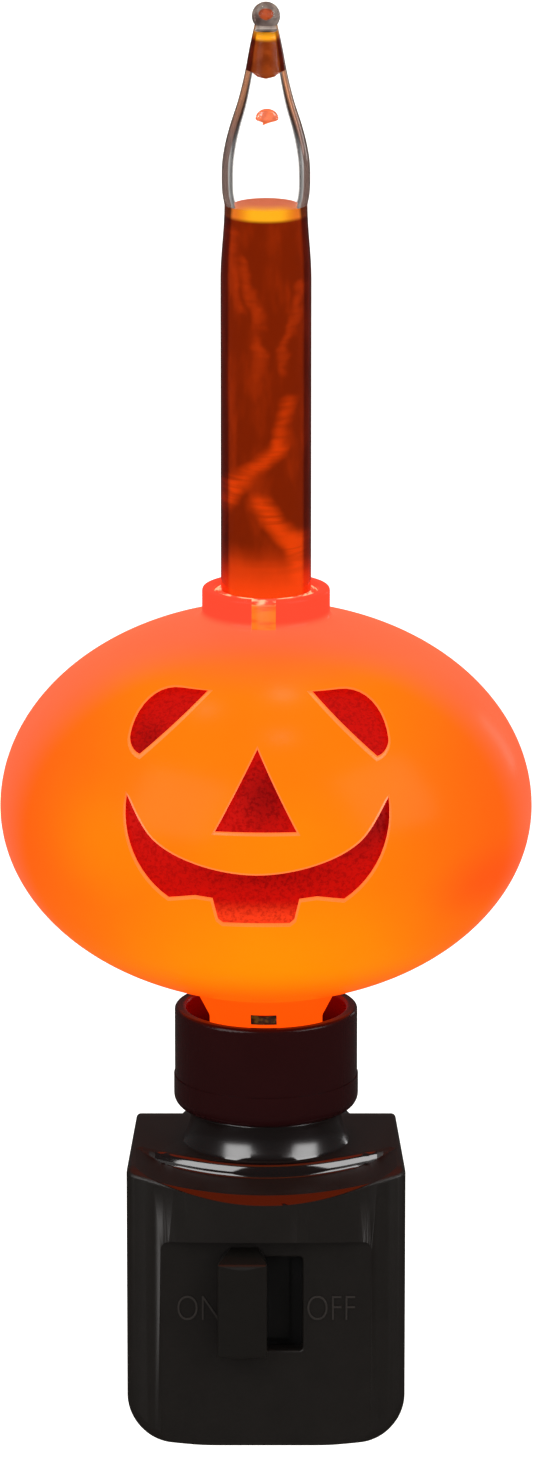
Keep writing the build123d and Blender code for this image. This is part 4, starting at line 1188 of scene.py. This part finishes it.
def roll_section(x):
    """(depth behind the front, height) of the rolled top edge at a distance from the middle, closed above it."""
    back, lift = 0.031 * x * x, 0.0032 * x * x
    edge = (0.0187 * x * x - 0.01, TOP_Z - 2.9 + 0.0146 * x * x)
    foot = (5.35 + back, max(TOP_Z - 1.5 + lift, edge[1]))
    rise, run = foot[1] - edge[1], foot[0] - edge[0]
    points = [(-6, edge[1] - 0.6), edge]
    # a steep crescent, then the curved ledge: shares of the way from the edge to the foot
    points += [(edge[0] + rise * share / 0.72, edge[1] + rise * share) for share in (0.2, 0.4, 0.58)]
    points += [(edge[0] + run * t, edge[1] + rise * share) for t, share in ((0.27, 0.66), (0.62, 0.83), (0.96, 0.98))]
    points.append(foot)
    # the wall behind the ledge, as depths and drops below the top
    wall = [(5.52, 1.34), (5.54, 1.14), (5.58, 0.94), (5.65, 0.75), (5.73, 0.58), (5.82, 0.42),
            (5.94, 0.27), (6.08, 0.16), (6.25, 0.08), (6.5, 0.02), (6.8, -0.01)]
    points += [(depth + back, max(TOP_Z - drop + lift * drop / 2, foot[1] + 0.02 * i))
               for i, (depth, drop) in enumerate(wall, 1)]
    return points + [(points[-1][0], TOP_Z + 3), (-6, TOP_Z + 3)]


class NIGHTLIGHT_OT_housing(bpy.types.Operator):
    """Black moulded housing with its rolled top edge, back cover and plug body"""
    bl_idname = "night_light.housing"
    bl_label = "Housing Finish"
    PLAIN, POLISHED = range(2)

    def execute(self, context):
        tint = settings("finishes").housing
        plain = moulded("Housing plastic", tint, 0.42, scale=9.0, unevenness=0.3, speckle=0.35, relief=0.3,
                        Specular_IOR_Level=0.17)
        polished = moulded("Polished edge", shade("#180E0D"), 0.1, scale=9.0, unevenness=0.3, speckle=0.1, relief=0.03,
                           Specular_IOR_Level=0.6)
        height = polished.split(polished.place())[2]
        polished.feed(Roughness=polished.remap(height, TOP_Z, TOP_Z + 0.3, 0.09, 0.22))
        self.roll_edge(plain.material, polished.material)
        satin = moulded("Cover plastic", tint, 0.42, scale=7.0, unevenness=0.3, speckle=0.3, relief=0.3,
                        Specular_IOR_Level=0.25)
        dress(satin.material, "housing_back_cover", "plug_body")
        return {"FINISHED"}

    def roll_edge(self, *materials):
        """The housing's own form with the rolled edge and the curved ledge carved along its top front."""
        take(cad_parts["housing_shell"])
        bpy.ops.object.duplicate()
        piece = bpy.context.active_object
        piece.name = piece.data.name = "housing_front"
        piece.data.materials.clear()
        wear(piece, *materials)
        close_up(piece)
        tool = self.edge_tool()
        wear(tool, *materials)
        all_faces(tool, self.POLISHED)
        cut(piece, tool)
        close_up(piece, 5)
        self.share_out(piece)
        finish_piece(piece, "housing", "housing_plastic", "housing_shell")

    def edge_tool(self):
        """Sections of the rolled edge bridged from side to side and closed at both ends."""
        half, count = SHELL_HIGH.x + 1, 48
        ribs = []
        for i in range(count + 1):
            x = half * (2 * i / count - 1)
            ribs.append(draw(f"rib_{i}", [(x, FRONT_Y + d, z) for d, z in roll_section(x)], closed=True))
        tool = joined(ribs)
        edit(tool)
        bpy.ops.mesh.bridge_edge_loops()
        bpy.ops.mesh.select_all(action="DESELECT")
        bpy.ops.mesh.select_mode(type="EDGE")
        bpy.ops.mesh.select_non_manifold()
        bpy.ops.mesh.fill()
        bpy.ops.mesh.select_mode(type="VERT")
        return close_up(tool)

    def share_out(self, piece):
        """The neck and the rolled edge are polished and smooth, with a crisp border."""
        neck, end, level = (TOP_Z + 0.02) * MM, 12.3 * MM, 0.94
        for face in piece.data.polygons:
            if face.center.z > neck:
                face.material_index = self.POLISHED
            elif face.normal.z > level or abs(face.center.x) > end:
                face.material_index = self.PLAIN
        edit(piece)
        bpy.ops.mesh.select_all(action="DESELECT")
        piece.active_material_index = self.POLISHED
        bpy.ops.object.material_slot_select()
        bpy.ops.mesh.mark_sharp(clear=True)
        bpy.ops.mesh.region_to_loop()
        bpy.ops.mesh.mark_sharp()


class NIGHTLIGHT_OT_holder(bpy.types.Operator):
    """Lamp holder cup and the moulded insulators inside it"""
    bl_idname = "night_light.holder"
    bl_label = "Holder Finish"

    def execute(self, context):
        look = settings("finishes")
        board = moulded("Holder plastic", look.holder, 0.22, scale=5.0, unevenness=0.25, speckle=0.1, relief=0.05,
                        Specular_IOR_Level=0.1)
        where = board.place((0, AXIS_Y, RIM_Z))
        x, y, z = board.split(where)
        radius = board.calc("SQRT", board.plus(board.times(x, x), board.times(y, y)))
        within = board.times(board.remap(radius, 9.1, 8.7), board.remap(z, -9, -1))
        tint = board.mix(within, look.holder, look.holder_lit)
        board.feed(Base_Color=board.multiply(tint, board.grain(where, 5.0, 0.25, 0.1)["Shade"]))
        dress(board.material, "socket_cup")
        phenolic = moulded("Phenolic", look.phenolic, 0.5, scale=3.0, unevenness=0.5, speckle=0.5, relief=0.4)
        dress(phenolic.material, "socket_insulator", "lamp_core")
        return {"FINISHED"}


class NIGHTLIGHT_OT_switch(bpy.types.Operator):
    """Switch knob and the plate behind the slot"""
    bl_idname = "night_light.switch"
    bl_label = "Switch Finish"

    def execute(self, context):
        look = settings("finishes")
        knob = moulded("Knob plastic", look.knob, 0.3, scale=9.0, unevenness=0.25, relief=0.1, Specular_IOR_Level=0.25)
        slider = moulded("Slider plastic", look.slider, 0.5, unevenness=0.3, speckle=0.3, Specular_IOR_Level=0.3)
        dress(knob.material, "switch_knob")
        dress(slider.material, "switch_slider")
        return {"FINISHED"}


class NIGHTLIGHT_OT_contacts(bpy.types.Operator):
    """Contacts, strips, blades, ring and the lamp's foot"""
    bl_idname = "night_light.contacts"
    bl_label = "Metal Finishes"

    def execute(self, context):
        look = settings("finishes")
        dress(metal("Nickel blades", look.nickel, (3.0, 0.06, 3.0), 0.24), "blade_left", "blade_right")
        dress(metal("Steel ring", look.steel, (0.1, 3.0, 0.1), 0.3), "plug_retaining_ring")
        dress(metal("Spring brass", look.brass, (3.0, 3.0, 0.08), 0.3), "switch_bridge", "lamp_strip", "line_strip",
              "neutral_strip", "socket_centre_contact", "plug_contact_stud", "plug_contact_ring")
        dress(metal("Solder tip", look.solder, (1, 1, 1), 0.22, 0.6), "lamp_centre_contact")
        button = moulded("Black glass button", look.black_glass, 0.08, scale=2.0, unevenness=0.2, speckle=0.1,
                         relief=0.02, Coat_Weight=0.6)
        dress(button.material, "lamp_insulator")
        return {"FINISHED"}


def ring_material():
    """Soft ring with the lamp's light in it and pale glints on its lip."""
    look = settings("finishes")
    board = moulded("Soft ring", shade("#7A2410"), 0.5, scale=3.0, unevenness=0.3, speckle=0.2, relief=0.2,
                    Emission_Strength=1.0)
    where = board.place((0, AXIS_Y, COLLAR_TOP))
    bars = board.remap(board.noise(board.scaled(where, 0.4, 0.4, 1.6), 0.8), 0.4, 0.65)
    glints = board.remap(board.noise(board.scaled(where, 0.5, 0.5, 2.0), 1.1), 0.45, 0.6)
    side = board.mix(bars, look.silicone, look.ring_deep)
    lip = board.mix(glints, look.lip_deep, look.lip_glint)
    board.feed(Emission_Color=board.mix(board.remap(board.split(where)[2], -0.9, -0.5), side, lip))
    return board.material


class NIGHTLIGHT_OT_bulb(bpy.types.Operator):
    """Bulb inside the globe, and the soft ring that holds the tube"""
    bl_idname = "night_light.bulb"
    bl_label = "Bulb and Grip Ring"

    def execute(self, context):
        look = settings("finishes")
        dress(glass_material("Bulb glass", bulb_tint), "bulb_envelope", "bulb_stem")
        dress(metal("Lead wire", look.steel, (1, 1, 0.1), 0.3), "bulb_lead_left", "bulb_lead_right")
        board = MaterialBoard("Lit filament", Emission_Strength=12.0)
        coil = board.add("ShaderNodeTexWave", {"Vector": board.place(), "Scale": 2.0}, bands_direction="X").outputs[1]
        board.feed(Emission_Color=board.mix(coil, look.filament, shade("#FF8A20")))
        dress(board.material, "bulb_filament")
        low, high = node_box_mm("tube_grip_ring")
        outer, inner, top = high.x, TUBE_RADIUS + 0.04, COLLAR_TOP - 0.25
        lip = [(outer, top - 0.5), (outer - 0.1, top - 0.2), (outer - 0.35, top - 0.05),
               (inner + 0.25, top - 0.1), (inner + 0.1, top + 0.05), (inner, top + 0.1)]
        ring = turned("grip_ring", [(inner, low.z), (outer, low.z)] + lip)
        wear(ring, ring_material())
        finish_piece(ring, "lamp", "silicone", "tube_grip_ring")
        return {"FINISHED"}


# ---- stage ----------------------------------------------------------------------------------
LAMPS = {
    # name: (degrees from the front, degrees up, distance, width, height, radiance), in metres
    "left_panel": (-43, 28, 0.85, 0.58, 0.6, 8.0),
    "right_panel": (61, 28, 0.85, 0.54, 0.6, 8.0),
    "top_panel": (21, 76, 0.8, 0.05, 0.04, 90.0),
    "top_back_panel": (160, 77, 0.8, 0.05, 0.04, 90.0),
    "left_top_panel": (-111, 72, 0.8, 0.07, 0.03, 60.0),
    "right_back_panel": (142, 6, 0.9, 0.07, 0.26, 3.0),
}
GLOSS_ONLY = ("left_panel", "right_panel")


class NIGHTLIGHT_OT_stage(bpy.types.Operator):
    """Camera, plain soft lights, white surroundings and a pale floor"""
    bl_idname = "night_light.stage"
    bl_label = "Stage"

    def execute(self, context):
        look = settings("stage")
        aim = Vector((look.aim_side, AXIS_Y * MM, look.aim_height))
        back = Vector((0, -math.cos(look.elevation), math.sin(look.elevation)))
        deselect()
        bpy.ops.object.camera_add(location=aim + back * look.distance, rotation=(math.pi / 2 - look.elevation, 0, 0))
        camera = context.active_object
        camera.name = "Camera"
        lens = camera.data
        lens.sensor_fit, lens.sensor_height = "VERTICAL", 36
        lens.lens = lens.sensor_height * look.distance / look.view_height
        context.scene.camera = camera
        self.light(aim)
        self.surround(look)
        self.lay_floor(look)
        context.scene.view_settings.view_transform = "Standard"
        return {"FINISHED"}

    def light(self, aim):
        """Soft panels, each facing the lamp."""
        for name, (bearing, height, distance, width, tall, radiance) in LAMPS.items():
            a, e = math.radians(bearing), math.radians(height)
            out = Vector((math.sin(a) * math.cos(e), -math.cos(a) * math.cos(e), math.sin(e)))
            deselect()
            bpy.ops.object.light_add(type="AREA", location=aim + out * distance,
                                     rotation=out.to_track_quat("Z", "Y").to_euler())
            lamp = bpy.context.active_object
            lamp.name = name
            panel = lamp.data
            panel.shape, panel.size, panel.size_y = "RECTANGLE", width, tall
            panel.energy = radiance * math.pi * width * tall
            lamp.visible_camera = False
            lamp.visible_diffuse = name not in GLOSS_ONLY

    def surround(self, look):
        """White where the camera and glass see it, darker in front for gloss, and a plain light elsewhere."""
        world = bpy.context.scene.world or bpy.data.worlds.new("World")
        bpy.context.scene.world = world
        world.use_nodes = True
        board = Board(world.node_tree)
        background = world.node_tree.nodes["Background"]
        background.inputs["Color"].default_value = (1, 1, 1, 1)
        away = board.split(board.add("ShaderNodeTexCoord").outputs["Generated"])
        room = board.remap(away[1], -0.7, 0.5, look.room_front, look.room_back)
        board.tree.links.new(self.seen(board, room, look.ambient), background.inputs["Strength"])

    def seen(self, board, room, otherwise):
        """1 for the camera and through glass, the room's level for gloss, and a plain level otherwise."""
        path = board.add("ShaderNodeLightPath").outputs
        gloss = board.add("ShaderNodeMix", {0: path["Is Glossy Ray"], 2: otherwise, 3: room}).outputs[0]
        through = board.calc("MAXIMUM", path["Is Camera Ray"], path["Is Transmission Ray"])
        return board.add("ShaderNodeMix", {0: through, 2: gloss, 3: 1.0}).outputs[0]

    def lay_floor(self, look):
        """A wide pale floor that still takes the object's shadow."""
        deselect()
        bpy.ops.mesh.primitive_plane_add(size=12, location=(0, 0, -look.floor_drop))
        floor = bpy.context.active_object
        floor.name = "floor"
        settle(floor)
        board = MaterialBoard("Pale floor", Roughness=0.9, Specular_IOR_Level=0.1)
        mottle = board.noise(board.place(), 0.02)
        tint = board.mix(board.times(mottle, 0.1), look.floor, shade("#DDDBD8"))
        path = board.add("ShaderNodeLightPath").outputs
        mirrored_ray = board.calc("SUBTRACT", path["Is Glossy Ray"], path["Is Transmission Ray"], clamp=True)
        board.feed(Base_Color=board.mix(mirrored_ray, tint, shade("#4A4846")), Emission_Color=tint,
                   Emission_Strength=board.times(self.seen(board, 0.0, 0.0), 0.85))
        wear(floor, board.material)


OPERATORS = (
    NIGHTLIGHT_OT_pumpkin, NIGHTLIGHT_OT_tube, NIGHTLIGHT_OT_threads, NIGHTLIGHT_OT_lettering, NIGHTLIGHT_OT_housing,
    NIGHTLIGHT_OT_holder, NIGHTLIGHT_OT_switch, NIGHTLIGHT_OT_contacts, NIGHTLIGHT_OT_bulb, NIGHTLIGHT_OT_stage,
)


class NIGHTLIGHT_PT_sidebar(bpy.types.Panel):
    """Sizes, colours and building steps of the night light"""
    bl_idname = "NIGHTLIGHT_PT_sidebar"
    bl_label = "Bubble Night Light"
    bl_space_type = "VIEW_3D"
    bl_region_type = "UI"
    bl_category = "Night Light"

    def draw(self, context):
        column = self.layout.column(align=True)
        for operator in OPERATORS:
            column.operator(operator.bl_idname)
        for name, group_class in SETTINGS.items():
            box = self.layout.box()
            box.label(text=name.replace("night_light_", "").title())
            for key in group_class.__annotations__:
                box.prop(getattr(context.scene, name), key)


CLASSES = (*SETTINGS.values(), *OPERATORS, NIGHTLIGHT_PT_sidebar)


def register():
    """Registers the classes and hangs their settings on the scene."""
    for cls in CLASSES:
        bpy.utils.register_class(cls)
    for name, cls in SETTINGS.items():
        setattr(bpy.types.Scene, name, bpy.props.PointerProperty(type=cls))


def unregister():
    """Takes the settings and the classes away."""
    for name in SETTINGS:
        delattr(bpy.types.Scene, name)
    for cls in reversed(CLASSES):
        bpy.utils.unregister_class(cls)


def main():
    """Builds every piece in order."""
    register()
    for operator in OPERATORS:
        kit, step = operator.bl_idname.split(".")
        getattr(getattr(bpy.ops, kit), step)()


if __name__ == "__main__":
    main()
